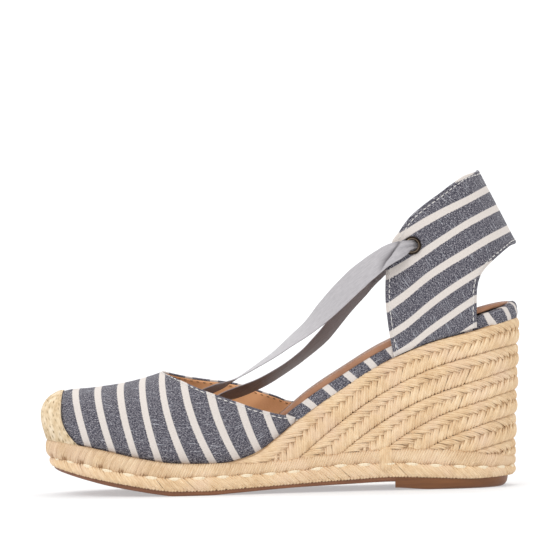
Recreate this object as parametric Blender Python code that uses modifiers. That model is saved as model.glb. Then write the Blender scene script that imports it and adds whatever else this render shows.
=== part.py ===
"""Closed-toe espadrille wedge sandal, left foot: jute-braid platform and wedge, striped cloth vamp
and heel quarter, and two ribbon ties.

Frame: toe at -X, heel at +X, medial side at +Y, lateral side at -Y, floor at Z = 0.
Tables are in millimetres. Station t runs along the shoe, from 0 at the toe tip to the heel.
"""

import math

import bmesh
import bpy
import numpy as np
from mathutils import Matrix, Vector

MM = 0.001

LENGTH = 246.5
TOE_X = -LENGTH / 2
GAP = 0.34
TOE_ROUND = 50.0
HEEL_ROUND = 30.0
ROUND_POWER = 2.2

TREAD_TIP = 5.0
BRAID_TIP = 6.6
BAND_TIP = 3.4
VAMP_TIP = 1.6
BED_TIP = 7.6
LIFT_FRONT = 181.5
LIFT_BACK = 240.6
ROPE_BACK = 241.4
BACK_LEAN = 0.052
INSOLE_BACK = 242.2

VAMP_WALL = 1.8
CAP_WALL = 1.2
QUARTER_WALL = 1.8
VAMP_SIDE = -1.5
BED_CLEARANCE = 0.8
TOE_POLE = 20.0
THROAT = 63.0
WING_START = 85.0
WING_END = {"lateral": 132.0, "medial": 138.0}
CAP_EDGE = 12.3
CAP_SWEEP = 8.0
CAP_SWEEP_LOW = 22.0
CAP_SWEEP_HIGH = 42.0
FOOT_SHARE = 0.28
RIB_EASE = 1.25

EYELET_X = 69.5
EYELET_Z = 123.9
EYELET_HOLE = 2.8
EYELET_BARREL = 3.6
EYELET_FLANGE = 4.7
EYELET_LIP = 0.8
EYELET_ROUND = 0.4
SEAT_CLEARANCE = 0.5

# Where an end isn't rounded, its tip is taken to lie this far away.
NO_TIP = 1e4
# Stations that the layers share along their sides, so that their facets lie face to face.
SHARED = (*range(20, 92, 8), *range(92, 140, 6), *range(140, 180, 8), *range(180, 221, 10))

# The middle line of the outline, which runs to the medial side towards the toe.
AXIS = {"t": (0, 30, 60, 250), "y": (5.0, 3.3, 1.5, 1.5)}

# Half widths of the platform, before its toe and heel are rounded.
PLAN = {
    "t": (0, 30, 52, 70, 92, 114, 137, 162, 190, 220, 250),
    "lateral": (29.5, 36, 41, 44, 42.5, 38.5, 34, 31, 30, 29.5, 28.5),
    "medial": (39.5, 42.5, 44, 43.5, 40, 35.5, 32.5, 31.5, 33, 33, 31.5),
}

# Heights of the surfaces between the layers, from the ground up.
LAYERS = {
    "t": (0, 12, 24, 36, 50, 62, 70, 86, 100, 118, 133, 156, 180, 200, 222, 234, 250),
    "tread_low": (15.6, 11.7, 8.4, 5.5, 2.9, 0.9, 0, 0, 0.8, 2.0, 2.8, 3.6, 4.4, 4.4, 4.4, 4.4, 4.4),
    "lift_low": (1.2,) * 13 + (0,) * 4,
    "tread_top": (16.8, 13.4, 10.4, 7.9, 5.4, 3.4, 2.6, 2.5, 3.2, 4.1, 4.9, 6, 7, 6.3, 5.4, 5.8, 6.6),
    "braid_top": (20.4, 18.5, 16.1, 13.4, 10.8, 9.4, 8.9, 9.1, 9.5, 10.1, 11.0,
                  13.3, 13.6, 12.4, 10.9, 10.3, 9.8),
    "band_top": (29.0, 27.2, 25.2, 22.6, 19.4, 17.2, 16.2, 15.7, 15.9, 16.6, 17.8,
                 19.9, 21.4, 21.0, 18.8, 17.0, 15.0),
}

# Heights of the foot bed behind the ball: the platform's top, the cloth-covered rand and the insole.
BED = {
    "t": (0, 24, 43, 60, 74, 86, 98, 106, 113, 125, 136, 154, 175, 200, 220, 238, 250),
    "platform": (29, 25, 20, 17, 15.5, 15.5, 16.4, 18.5, 21.5, 30.2, 39.2,
                 51.3, 63.9, 74.2, 80.0, 85.2, 88.3),
    "rand": (33.8, 30.0, 25.7, 22.3, 20.8, 20.9, 23.0, 25.6, 28.6, 37.2, 46.2,
             57.9, 70.3, 80.8, 86.8, 92.0, 93.9),
    "insole": (37.2, 33.4, 29.1, 25.7, 24.2, 24.3, 26.4, 29.0, 32.0, 40.6, 49.6,
               61.2, 73.5, 83.8, 89.4, 93.8, 95.2),
}

# Seams between the fanned braids of the wedge: where each leaves the band, and where it meets the back.
SEAMS = {
    "front_t": (133.5, 155, 177, 198.5, 221),
    "front_z": (17.8, 19.8, 21.3, 21.0, 18.9),
    "front_slope": (0.94, 0.88, 0.76, 0.58, 0.30),
    "back_z": (73.2, 62.2, 50.3, 37.8, 25.0),
    "back_slope": (0.15, 0.31, 0.24, 0.21, 0.20),
}
SEAM_BACK = 246.0
ROW_FRONTS = (100.0, 135.5, 157.0, 179.0, 200.5, 223.0)

# How far inside the platform's edge the foot bed lies: tucked in behind the cloth of the quarter.
TUCK = {"t": (0, 172, 179, 226, 232, 250), "inset": (-0.8, -0.8, -2.8, -2.8, -0.8, -0.8)}

# The last over the forefoot: ridge, height of its widest line over the platform, undercut below it.
LAST = {
    "t": (0, 20, 34, 53, 63, 74, 87, 102, 117, 138),
    "ridge": (54.0, 54.0, 55.2, 58.9, 61.8, 66.5, 72.0, 78.5, 85.5, 94.5),
    "ridge_y": (5.5, 5.5, 5.5, 5.0, 4.5, 3.5, 2.5, 1.5, 1.5, 1.5),
    "widest": (12.0, 11.5, 11.0, 10.0, 10.0, 10.0, 10.0, 9.0, 8.0, 6.0),
    "undercut": (2.6, 2.8, 3.0, 3.0, 3.0, 3.0, 2.8, 2.2, 1.6, 1.0),
    "power": (1.00, 0.80, 0.79, 0.86, 0.88, 0.90, 0.92, 0.92, 0.92, 0.92),
}

# The vamp's top edge behind the throat, on each side.
TOPLINE = {
    "t": (63, 67, 74, 84, 91, 101, 110, 120, 126, 132, 138),
    "lateral": (61.8, 60.9, 58.4, 54.2, 51.6, 48.0, 44.6, 41.4, 39.7, 38.0, 37.0),
    "medial": (61.8, 60.6, 58.9, 57.2, 56.3, 54.6, 51.4, 47.8, 45.2, 44.0, 43.6),
}

# The quarter, from its foot on the platform up and round to the centre back: its two edges.
QUARTER = {
    "front_x": (59.0, 56.4, 55.3, 55.9, 58.9, 62.6, 68.0, 75.5, 83.4, 91.0, 98.0, 104.5),
    "front_z": (69.5, 84.0, 98.0, 112.0, 124.8, 130.9, 138.0, 144.3, 149.8, 155.2, 159.4, 161.8),
    "rear_x": (101.5, 101.6, 101.8, 102.1, 103.0, 104.6, 107.2, 110.4, 114.2, 117.8, 120.8, 123.2),
    "rear_z": (81.1, 88.0, 94.5, 100.0, 105.0, 108.8, 112.2, 115.2, 118.4, 121.2, 123.2, 124.1),
}
# Plan of the heel at each height: its back station and how far its sides lean in.
HEEL_PLAN = {
    "z": (60, 95, 122, 124, 127, 143, 163),
    "back": (246.0, 246.3, 246.3, 246.1, 244.6, 236.7, 226.8),
    "lean": (-0.3, -0.4, -1.4, -1.5, -1.8, -3.2, -5.6),
}

# Each ribbon from the inside of its eyelet to its end under the vamp; turn rolls its width from upright.
ROUTE = {
    "lateral": {
        "t": (192.8, 192.8, 189.5, 184.5, 179.9, 171.6, 164.4, 156.6, 147.8, 139, 129.7, 121.4,
              113.2, 107, 102, 96.5, 91.3, 84, 74, 64, 54, 44, 34),
        "y": (25, 32, 35.0, 35.6, 35.0, 32.8, 30.8, 28.8, 26.8, 25, 23.4, 22.2,
              21, 20.2, 19.6, 18.8, 17.8, 16.6, 15, 13.6, 12.6, 12, 12),
        "z": (123.9, 123.9, 122.8, 120.8, 118.8, 111.9, 105.5, 98, 90.1, 81.7, 74.3, 68.6,
              64, 60.6, 58, 56, 53.8, 50.6, 44.6, 38, 32.8, 30.8, 32.9),
        "turn": (0, 0, 6, 10, 14, 18, 24, 32, 42, 53, 65, 75,
                 82, 86, 90, 102, 112, 110, 100, 92, 90, 90, 90),
        "width": (3.6, 3.6, 5, 9, 13) + (14.5,) * 18,
        "thick": (2.2, 2.2, 2, 1.2, 0.8) + (0.8,) * 18,
    },
    "medial": {
        "t": (192.8, 192.8, 189, 182, 174, 166.2, 157.5, 147, 142, 133.6, 123.1,
              112.6, 102.2, 96, 88, 78, 68, 58, 48, 38),
        "y": (26, 34, 37.2, 36.4, 33, 29.2, 25.6, 22.4, 21.2, 19.6, 18.4,
              17.8, 17.2, 16.8, 16.2, 15.2, 14.2, 13.4, 13, 12.8),
        "z": (123.9, 123.9, 122.6, 118.6, 111.9, 102.2, 92, 79, 74.1, 67.4, 60.1,
              54.4, 50.3, 48.2, 45, 40.6, 35.6, 31.4, 30.2, 32.2),
        "turn": (0, 0, -8, -16, -34, -48, -56, -63, -68, -77, -75,
                 -71, -67, -68, -74, -82, -88, -90, -90, -90),
        "width": (3.6, 3.6, 5, 10, 13.5) + (14.5,) * 15,
        "thick": (2.2, 2.2, 2, 1.1, 0.8) + (0.8,) * 15,
    },
}

JUTE = (0.74, 0.58, 0.37)


def column(table, name, at, key="t"):
    """A table's column read at any place along its key, on a monotone cubic through its rows."""
    x = np.asarray(table[key], float)
    y = np.asarray(table[name], float)
    step = np.diff(x)
    rise = np.diff(y) / step
    slope = np.zeros_like(y)
    flat = rise[:-1] * rise[1:] <= 0
    before = 2 * step[1:] + step[:-1]
    after = step[1:] + 2 * step[:-1]
    safe = np.where(flat, 1.0, rise[:-1])
    follow = np.where(flat, 1.0, rise[1:])
    slope[1:-1] = np.where(flat, 0.0, (before + after) / (before / safe + after / follow))
    slope[0] = rise[0]
    slope[-1] = rise[-1]
    at = np.clip(np.asarray(at, float), x[0], x[-1])
    i = np.clip(np.searchsorted(x, at, side="right") - 1, 0, len(step) - 1)
    u = (at - x[i]) / step[i]
    start = y[i] * (1 + 2 * u) * (1 - u) ** 2 + y[i + 1] * u**2 * (3 - 2 * u)
    return start + step[i] * (slope[i] * u * (1 - u) ** 2 - slope[i + 1] * u**2 * (1 - u))


def stations(front, back, round_front=True, round_back=True):
    """Stations shared by all layers in the middle, and closer together where an end is rounded."""
    low = SHARED[0] if round_front else front + 1.0
    high = SHARED[-1] if round_back else back - 1.0
    middle = np.array([t for t in SHARED if low <= t <= high] or [low], float)
    ease = (1 - np.cos(np.linspace(0, math.pi / 2, 8))) ** 1.2
    head = front + (middle[0] - front) * ease[:-1] if round_front else np.array([front])
    tail = back - (back - middle[-1]) * ease[-2::-1] if round_back else np.array([back])
    return np.concatenate([head, middle, tail])


def rounding(distance, reach):
    """Share of the full width at a distance from an end that is rounded over the reach."""
    q = np.clip(1 - distance / reach, 0, 1)
    return (1 - q**ROUND_POWER) ** (1 / ROUND_POWER)


def half_width(side, t, tip, back, grow):
    """How far the outline lies to this side at t; both rounded ends close on the middle line."""
    width = column(PLAN, side, t) + grow
    middle = column(AXIS, "y", t) * (-1 if side == "lateral" else 1)
    toe = rounding(t - tip, TOE_ROUND)
    heel = rounding(back - t, HEEL_ROUND)
    return (width - middle) * toe * heel + middle


def platform_top(t):
    return np.maximum(column(BED, "platform", t), column(LAYERS, "band_top", t))


def seam(number, t):
    """Height of one seam of the wedge at t: a cubic between its two ends and its two slopes."""
    front = SEAMS["front_t"][number]
    reach = SEAM_BACK - front
    u = np.clip((np.asarray(t, float) - front) / reach, 0, 1.02)
    rise = SEAMS["front_slope"][number] * reach
    settle = SEAMS["back_slope"][number] * reach
    start = SEAMS["front_z"][number] * (1 + 2 * u) * (1 - u) ** 2 + rise * u * (1 - u) ** 2
    end = SEAMS["back_z"][number] * u**2 * (3 - 2 * u) - settle * u**2 * (1 - u)
    return np.where(u > 0, start + end, 0.0)


def collection(name):
    made = bpy.data.collections.new(name)
    bpy.context.scene.collection.children.link(made)
    return made


def finish(name):
    """One material for each piece: base colour, roughness and metallic value."""
    colours = {
        "outsole": ((0.20, 0.085, 0.045), 0.55, 0.0),
        "heel_lift": ((0.16, 0.06, 0.03), 0.55, 0.0),
        "insole_rand": ((0.07, 0.09, 0.15), 0.85, 0.0),
        "insole": ((0.42, 0.20, 0.10), 0.5, 0.0),
        "vamp": ((0.10, 0.12, 0.19), 0.85, 0.0),
        "toe_cap": ((0.78, 0.64, 0.43), 0.85, 0.0),
        "heel_quarter": ((0.10, 0.12, 0.19), 0.85, 0.0),
        "eyelet_lateral": ((0.16, 0.11, 0.07), 0.35, 0.9),
        "eyelet_medial": ((0.16, 0.11, 0.07), 0.35, 0.9),
        "ribbon_lateral": ((0.54, 0.53, 0.56), 0.6, 0.0),
        "ribbon_medial": ((0.54, 0.53, 0.56), 0.6, 0.0),
    }
    colour, roughness, metallic = colours.get(name, (JUTE, 0.9, 0.0))
    made = bpy.data.materials.new(name + "_finish")
    made.use_nodes = True
    shader = made.node_tree.nodes["Principled BSDF"]
    shader.inputs["Base Color"].default_value = (*colour, 1.0)
    shader.inputs["Roughness"].default_value = roughness
    shader.inputs["Metallic"].default_value = metallic
    return made


def add(name, points, faces, home, merge=False):
    """An object from points in millimetres, with x along the shoe, and its faces."""
    mesh = bpy.data.meshes.new(name)
    mesh.from_pydata((np.asarray(points) * MM).tolist(), [], faces)
    if merge:
        work = bmesh.new()
        work.from_mesh(mesh)
        bmesh.ops.remove_doubles(work, verts=work.verts, dist=0.00001)
        bmesh.ops.dissolve_degenerate(work, edges=work.edges, dist=0.00001)
        work.to_mesh(mesh)
        work.free()
    mesh.shade_smooth()
    mesh.set_sharp_from_angle(angle=math.radians(40))
    made = bpy.data.objects.new(name, mesh)
    made.data.materials.append(finish(name))
    home.objects.link(made)
    return made


def layer(name, home, bottom, top, tip, back, edge, round_front=True, round_back=True, inset=None):
    """A layer of the sole: its outline carried up through (share of height, growth) steps.

    bottom and top give its two faces' heights at a station, and both faces run straight across.
    inset, where given, adds a growth of its own for each side and station.
    """
    rings = []
    count = len(stations(tip, back, round_front, round_back))
    for share, grow in edge:
        front = tip - grow if round_front else tip
        end = back + grow if round_back else back
        t = stations(front, end, round_front, round_back)
        low = bottom(t) + GAP / 2
        high = top(t) - GAP / 2
        z = low + share * (high - low)
        sides = {}
        for side, sign in (("lateral", -1), ("medial", 1)):
            extra = inset(side, t) if inset else 0
            tip_here = front if round_front else -NO_TIP
            end_here = end if round_back else NO_TIP
            y = sign * half_width(side, t, tip_here, end_here, grow + extra)
            sides[side] = np.stack([t + TOE_X, y, z], axis=1)
        first_medial = 1 if round_front else 0
        last_medial = count - 1 if round_back else count
        rings.append(np.concatenate([sides["lateral"], sides["medial"][first_medial:last_medial][::-1]]))
    around = len(rings[0])
    faces = []
    for level in range(len(rings) - 1):
        for i in range(around):
            j = (i + 1) % around
            a, b = level * around, (level + 1) * around
            faces.append((a + i, a + j, b + j, b + i))
    wide = around - count
    start = 1 if round_front else 0
    for i in range(count - 1):
        near = [i, i + 1]
        far = [around - (k + 1 - start) for k in near if start <= k < start + wide]
        cap = near + far[::-1]
        top_ring = (len(rings) - 1) * around
        if len(cap) > 2:
            faces.append(tuple(cap[::-1]))
            faces.append(tuple(top_ring + k for k in cap))
    return add(name, np.concatenate(rings), faces, home)


def bed_inset(side, t):
    """The foot bed is narrow inside the vamp and widens to the platform's edge behind the wings."""
    inside = VAMP_SIDE - VAMP_WALL - BED_CLEARANCE - column(LAST, "undercut", t)
    return np.where(t > WING_END[side] + 3, column(TUCK, "inset", t), inside)


def sole(home):
    def read(table, name, shift=0.0):
        return lambda t: column(table, name, t) + shift

    flat_edge = ((0, -1.6), (1, -1.4))
    rope_edge = ((0, -1.2), (0.28, 0.4), (0.72, 0.4), (1, -1.2))
    layer("outsole", home, read(LAYERS, "tread_low", -GAP / 2), read(LAYERS, "tread_top"),
          TREAD_TIP, LIFT_FRONT - GAP, flat_edge, round_back=False)
    layer("heel_lift", home, read(LAYERS, "lift_low", -GAP / 2), read(LAYERS, "tread_top"),
          LIFT_FRONT, LIFT_BACK, ((0, -3.6), (0.3, -1.8), (1, -1.4)), round_front=False)
    layer("base_braid", home, read(LAYERS, "tread_top"), read(LAYERS, "braid_top"),
          BRAID_TIP, ROPE_BACK, rope_edge)
    layer("wrapped_band", home, read(LAYERS, "braid_top"), read(LAYERS, "band_top"),
          BAND_TIP, ROPE_BACK + BACK_LEAN * 13, rope_edge)
    for number, front in enumerate(ROW_FRONTS):
        def low(t, number=number):
            band = column(LAYERS, "band_top", t)
            return np.maximum(band, seam(number, t)) if number < 5 else band

        def high(t, number=number):
            return seam(number - 1, t) if number else platform_top(t)

        middle = (low(SEAM_BACK) + high(SEAM_BACK)) / 2
        layer(f"wedge_braid_{number + 1}", home, low, high, front,
              ROPE_BACK + BACK_LEAN * middle, rope_edge, round_front=False)
    layer("insole_rand", home, platform_top, read(BED, "rand"),
          BED_TIP, LENGTH, ((0, -0.6), (0.3, 0), (0.7, 0), (1, -0.6)), inset=bed_inset)
    layer("insole", home, read(BED, "rand"), read(BED, "insole"),
          BED_TIP, INSOLE_BACK, ((0, -0.7), (0.6, -0.6), (1, -1.6)), inset=bed_inset)


def ribs(side, t, share, swell=0.0):
    """Points of the last's forefoot for outline stations t (rows) and shares up each rib (columns).

    A rib climbs from the edge of the sole to the ridge: bowed out up to the widest line, then a
    quarter of a superellipse. Ribs ahead of the pole all close on the pole. swell moves the
    surface outwards.
    """
    t = np.asarray(t, float)[:, None]
    share = np.broadcast_to(share, (len(t), np.shape(share)[-1]))
    sign = -1 if side == "lateral" else 1
    spine_t = np.maximum(t, TOE_POLE)
    tip = VAMP_TIP - swell
    wide_y = sign * half_width(side, t, tip, NO_TIP, VAMP_SIDE + swell)
    spine_y = column(LAST, "ridge_y", spine_t)
    foot_z = platform_top(t) + GAP
    wide_z = foot_z + column(LAST, "widest", t)
    ridge_z = column(LAST, "ridge", spine_t) + swell
    power = column(LAST, "power", t)
    lower = np.clip(share / FOOT_SHARE, 0, 1)
    upper = np.clip((share - FOOT_SHARE) / (1 - FOOT_SHARE), 0, 1) ** RIB_EASE * math.pi / 2
    reach = np.maximum(np.cos(upper), 0) ** power
    climb = np.sin(upper) ** power
    across = np.hypot(t - spine_t, wide_y - spine_y)
    inward = column(LAST, "undercut", t) * (1 - lower) ** 2
    reach = np.where(share < FOOT_SHARE, 1 - inward / across, reach)
    z = np.where(share < FOOT_SHARE, foot_z + (wide_z - foot_z) * lower, wide_z + (ridge_z - wide_z) * climb)
    x = spine_t + (t - spine_t) * reach + TOE_X
    y = spine_y + (wide_y - spine_y) * reach
    return np.stack([x, y, z], axis=2)


def rib_share(side, t, height):
    """Share up the rib at t where the last reaches the given height."""
    low = platform_top(t) + GAP
    wide = low + column(LAST, "widest", t)
    ridge = column(LAST, "ridge", t)
    climb = np.clip((height - wide) / (ridge - wide), 0, 1)
    angle = np.arcsin(np.clip(climb ** (1 / column(LAST, "power", t)), 0, 1))
    upper = FOOT_SHARE + (1 - FOOT_SHARE) * (angle / (math.pi / 2)) ** (1 / RIB_EASE)
    return np.where(height < wide, FOOT_SHARE * (height - low) / (wide - low), upper)


def rib_grid(columns, front_ribs, swell, last_t=None):
    """Both halves of the vamp as one open surface, its throat open behind the apex."""
    points = []
    faces = []
    shares = np.linspace(0, 1, columns)
    for side, wing_end in WING_END.items():
        tip = VAMP_TIP - swell
        head = tip + (TOE_POLE - tip) * (1 - np.cos(np.linspace(0, math.pi / 2, front_ribs))) ** 1.2
        body = [*range(28, 60, 8), THROAT - 4, *(THROAT + step for step in (0, 1, 3.5, 7, 11, 16))]
        t = np.concatenate([head, body, np.linspace(WING_START, wing_end, 8)])
        if last_t:
            t = t[t <= last_t]
        top = np.where(t > THROAT, rib_share(side, t, column(TOPLINE, side, t)), 1.0)
        grid = ribs(side, t, shares[None, :] * top[:, None], swell)
        base = sum(len(p) for p in points)
        points.append(grid.reshape(-1, 3))
        for i in range(len(t) - 1):
            for j in range(columns - 1):
                a = base + i * columns + j
                quad = (a, a + columns, a + columns + 1, a + 1)
                faces.append(quad if side == "lateral" else quad[::-1])
    return np.concatenate(points), faces


def solidify(item, thickness, offset):
    shell = item.modifiers.new("wall", "SOLIDIFY")
    shell.thickness = thickness * MM
    shell.offset = offset
    shell.use_even_offset = True
    shell.use_rim = True
    return shell


def boolean(item, cutter, operation):
    cut = item.modifiers.new(operation.lower(), "BOOLEAN")
    cut.operation = operation
    cut.object = cutter
    cut.solver = "EXACT"


def hide(cutter):
    cutter.hide_render = True
    cutter.display_type = "WIRE"


def vamp(home):
    points, faces = rib_grid(9, 9, 0.0)
    made = add("vamp", points, faces, home, merge=True)
    solidify(made, VAMP_WALL, -1)


def toe_cap(home, cutters):
    """The jute cap: the last's own surface stood off the cloth, cut off behind a curved edge."""
    points, faces = rib_grid(9, 9, GAP, last_t=40.0)
    made = add("toe_cap", points, faces, home, merge=True)
    solidify(made, CAP_WALL, 1)
    front, floor, roof, side = -20.0, 10.0, 65.0, 60.0
    outline = [(front, floor), (CAP_EDGE + CAP_SWEEP + 1, floor)]
    for share in np.linspace(0, 1, 7):
        height = CAP_SWEEP_LOW + (CAP_SWEEP_HIGH - CAP_SWEEP_LOW) * share
        outline.append((CAP_EDGE + CAP_SWEEP * (1 - share) ** 2.4, height))
    outline += [(CAP_EDGE, roof), (front, roof)]
    near = [(t + TOE_X, -side, z) for t, z in outline]
    far = [(x, side, z) for x, _, z in near]
    count = len(outline)
    sides = [(i, (i + 1) % count, (i + 1) % count + count, i + count) for i in range(count)]
    ends = [tuple(range(count))[::-1], tuple(range(count, 2 * count))]
    block = add("toe_cap_cutter", near + far, [tuple(f[::-1]) for f in sides + ends], cutters)
    hide(block)
    boolean(made, block, "INTERSECT")


def heel_turn(x, z):
    """How far round the heel's plan a point lies: 0 at the centre back, a quarter turn at the side."""
    back = column(HEEL_PLAN, "back", z, key="z")
    ahead = (back - (x - TOE_X)) / HEEL_ROUND
    curved = np.arccos(np.clip(1 - ahead, -1, 1))
    return np.where(ahead < 1, curved, math.pi / 2 + ahead - 1)


def heel_wall(side, turn, z):
    """A point of the heel's side wall from its turn round the plan and its height."""
    back = column(HEEL_PLAN, "back", z, key="z")
    lean = column(HEEL_PLAN, "lean", z, key="z")
    ahead = np.where(turn < math.pi / 2, 1 - np.cos(turn), turn - math.pi / 2 + 1)
    t = back - ahead * HEEL_ROUND
    sign = -1 if side == "lateral" else 1
    y = sign * half_width(side, t, -NO_TIP, back, lean)
    return np.stack([t + TOE_X, y, z], axis=-1)


def heel_quarter(home, cutters):
    """The cloth quarter: up one side, round behind the ankle and down the other, in one band."""
    row = np.arange(len(QUARTER["front_x"]), dtype=float)
    fine = np.concatenate([np.arange(0, row[-1] - 2, 0.75), np.linspace(row[-1] - 2, row[-1], 6)])
    table = {"row": row}
    for edge in ("front", "rear"):
        x, z = np.array(QUARTER[edge + "_x"]), np.array(QUARTER[edge + "_z"])
        table[edge + "_turn"] = heel_turn(x, z)
        table[edge + "_z"] = z
    read = {name: column(table, name, fine, key="row")[:, None] for name in table if name != "row"}
    across = np.linspace(0, 1, 7)[None, :]
    turn = read["front_turn"] + (read["rear_turn"] - read["front_turn"]) * across
    z = read["front_z"] + (read["rear_z"] - read["front_z"]) * across
    foot = heel_wall("lateral", turn[0], z[0])
    z[0] = platform_top(foot[:, 0] - TOE_X) + GAP
    points = []
    faces = []
    rows, columns = turn.shape
    for side in ("lateral", "medial"):
        base = len(points) * rows * columns
        points.append(heel_wall(side, turn, z).reshape(-1, 3))
        for i in range(rows - 1):
            for j in range(columns - 1):
                a = base + i * columns + j
                quad = (a, a + 1, a + columns + 1, a + columns)
                faces.append(quad if side == "lateral" else quad[::-1])
    made = add("heel_quarter", np.concatenate(points), faces, home, merge=True)
    solidify(made, QUARTER_WALL, -1)
    for side in ("lateral", "medial"):
        bpy.ops.mesh.primitive_cylinder_add(
            vertices=24, radius=(EYELET_BARREL + SEAT_CLEARANCE) * MM, depth=12 * MM
        )
        drill = bpy.context.object
        drill.name = f"eyelet_hole_{side}"
        drill.matrix_world = eyelet_place(side)
        for made_in in drill.users_collection:
            made_in.objects.unlink(drill)
        cutters.objects.link(drill)
        hide(drill)
        boolean(made, drill, "DIFFERENCE")


def eyelet_place(side):
    """Matrix of an eyelet: its origin in the middle of the quarter's wall, its axis along the normal."""
    here = heel_turn(EYELET_X, EYELET_Z)
    centre = Vector(heel_wall(side, here, np.array(EYELET_Z)).tolist())
    along = Vector(heel_wall(side, here + 0.05, np.array(EYELET_Z)).tolist()) - centre
    up = Vector(heel_wall(side, heel_turn(EYELET_X, EYELET_Z + 1), np.array(EYELET_Z + 1)).tolist()) - centre
    normal = along.cross(up).normalized()
    if normal.y * centre.y < 0:
        normal = -normal
    centre -= normal * (QUARTER_WALL / 2)
    turn = normal.to_track_quat("Z", "Y").to_matrix().to_4x4()
    return Matrix.Translation(centre * MM) @ turn


def eyelet(side, home):
    """A spool turned about its own axis: a barrel through the wall and a lip on each face."""
    half = QUARTER_WALL / 2 + SEAT_CLEARANCE
    end = half + EYELET_LIP
    inner, outer = EYELET_HOLE + EYELET_ROUND, EYELET_FLANGE - EYELET_ROUND
    shoulder = end - EYELET_ROUND
    upper = [
        (EYELET_HOLE, shoulder), (inner, end), (outer, end),
        (EYELET_FLANGE, shoulder), (EYELET_FLANGE, half), (EYELET_BARREL, half),
    ]
    profile = upper + [(r, -z) for r, z in reversed(upper)]
    mesh = bpy.data.meshes.new(f"eyelet_{side}")
    edges = [(i, (i + 1) % len(profile)) for i in range(len(profile))]
    mesh.from_pydata([(r * MM, 0, z * MM) for r, z in profile], edges, [])
    made = bpy.data.objects.new(f"eyelet_{side}", mesh)
    made.matrix_world = eyelet_place(side)
    made.data.materials.append(finish(made.name))
    home.objects.link(made)
    screw = made.modifiers.new("turn", "SCREW")
    screw.steps = 20
    screw.render_steps = 20
    screw.use_merge_vertices = True
    screw.merge_threshold = 0.00001
    screw.use_normal_calculate = False


def ribbon(side, home):
    """A flat tie along its route; its width rolls from upright at the eyelet to level in the throat."""
    sign = -1 if side == "lateral" else 1
    count = len(ROUTE[side]["t"])
    table = {"row": np.arange(count, dtype=float), **ROUTE[side]}
    at = np.concatenate([np.arange(0, 4, 0.5), np.arange(4, count - 0.9, 0.8), [count - 1.0]])
    read = {name: column(table, name, at, key="row") for name in table if name != "row"}
    centre = np.stack([read["t"] + TOE_X, sign * read["y"], read["z"]], axis=1)
    along = np.gradient(centre, axis=0)
    along /= np.linalg.norm(along, axis=1)[:, None]
    level = np.cross(along, (0.0, 0.0, 1.0))
    level /= np.linalg.norm(level, axis=1)[:, None]
    upright = np.cross(level, along)
    roll = np.radians(read["turn"])[:, None]
    wide = upright * np.cos(roll) + level * np.sin(roll)
    face = np.cross(along, wide)
    half_w = read["width"][:, None] / 2
    half_t = read["thick"][:, None] / 2
    signs = ((-1, -1), (1, -1), (1, 1), (-1, 1))
    corners = [centre + wide * half_w * a + face * half_t * b for a, b in signs]
    points = np.stack(corners, axis=1).reshape(-1, 3)
    faces = []
    for i in range(len(at) - 1):
        for j in range(4):
            a, b = 4 * i + j, 4 * i + (j + 1) % 4
            faces.append((a, b, b + 4, a + 4))
    last = 4 * (len(at) - 1)
    faces.append((3, 2, 1, 0))
    faces.append((last, last + 1, last + 2, last + 3))
    add(f"ribbon_{side}", points, faces, home)


def main():
    for item in list(bpy.data.objects):
        bpy.data.objects.remove(item)
    home = collection("espadrille_wedge_sandal")
    cutters = collection("cutters")
    sole(home)
    vamp(home)
    toe_cap(home, cutters)
    heel_quarter(home, cutters)
    for side in ("lateral", "medial"):
        eyelet(side, home)
        ribbon(side, home)


main()
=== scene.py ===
"""Looks for a closed-toe espadrille wedge sandal, left foot.

Striped chambray upper, plaited jute wedge, striped rand, leather insole and two ribbon ties.
Frame: toe at -X, heel at +X, medial side at +Y, floor at Z = 0. Tables are in millimetres and
station t runs along the shoe from 0 at the toe tip. Meshes are scaled to metres as they are made.
"""

import math
from functools import partial

import bmesh
import bpy
import numpy as np
from mathutils import Matrix, Vector


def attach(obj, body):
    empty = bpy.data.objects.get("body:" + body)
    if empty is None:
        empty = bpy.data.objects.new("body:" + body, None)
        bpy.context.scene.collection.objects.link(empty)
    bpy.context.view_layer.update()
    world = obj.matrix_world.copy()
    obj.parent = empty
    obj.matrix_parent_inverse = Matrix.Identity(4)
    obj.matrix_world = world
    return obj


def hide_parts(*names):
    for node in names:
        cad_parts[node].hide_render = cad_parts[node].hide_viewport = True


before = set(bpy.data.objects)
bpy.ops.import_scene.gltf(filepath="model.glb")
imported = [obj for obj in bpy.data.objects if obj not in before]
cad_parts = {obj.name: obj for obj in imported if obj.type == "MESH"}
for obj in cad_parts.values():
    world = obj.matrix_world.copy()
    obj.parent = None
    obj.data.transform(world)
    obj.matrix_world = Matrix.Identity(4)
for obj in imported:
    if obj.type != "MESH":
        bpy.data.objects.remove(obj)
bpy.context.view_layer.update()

MM = 0.001
LENGTH = 246.5
TOE_X = -LENGTH / 2
SIGN = {"lateral": -1, "medial": 1}
draw = np.random.default_rng(7)

# ---------------------------------------------------------------- shape of the shoe

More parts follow.
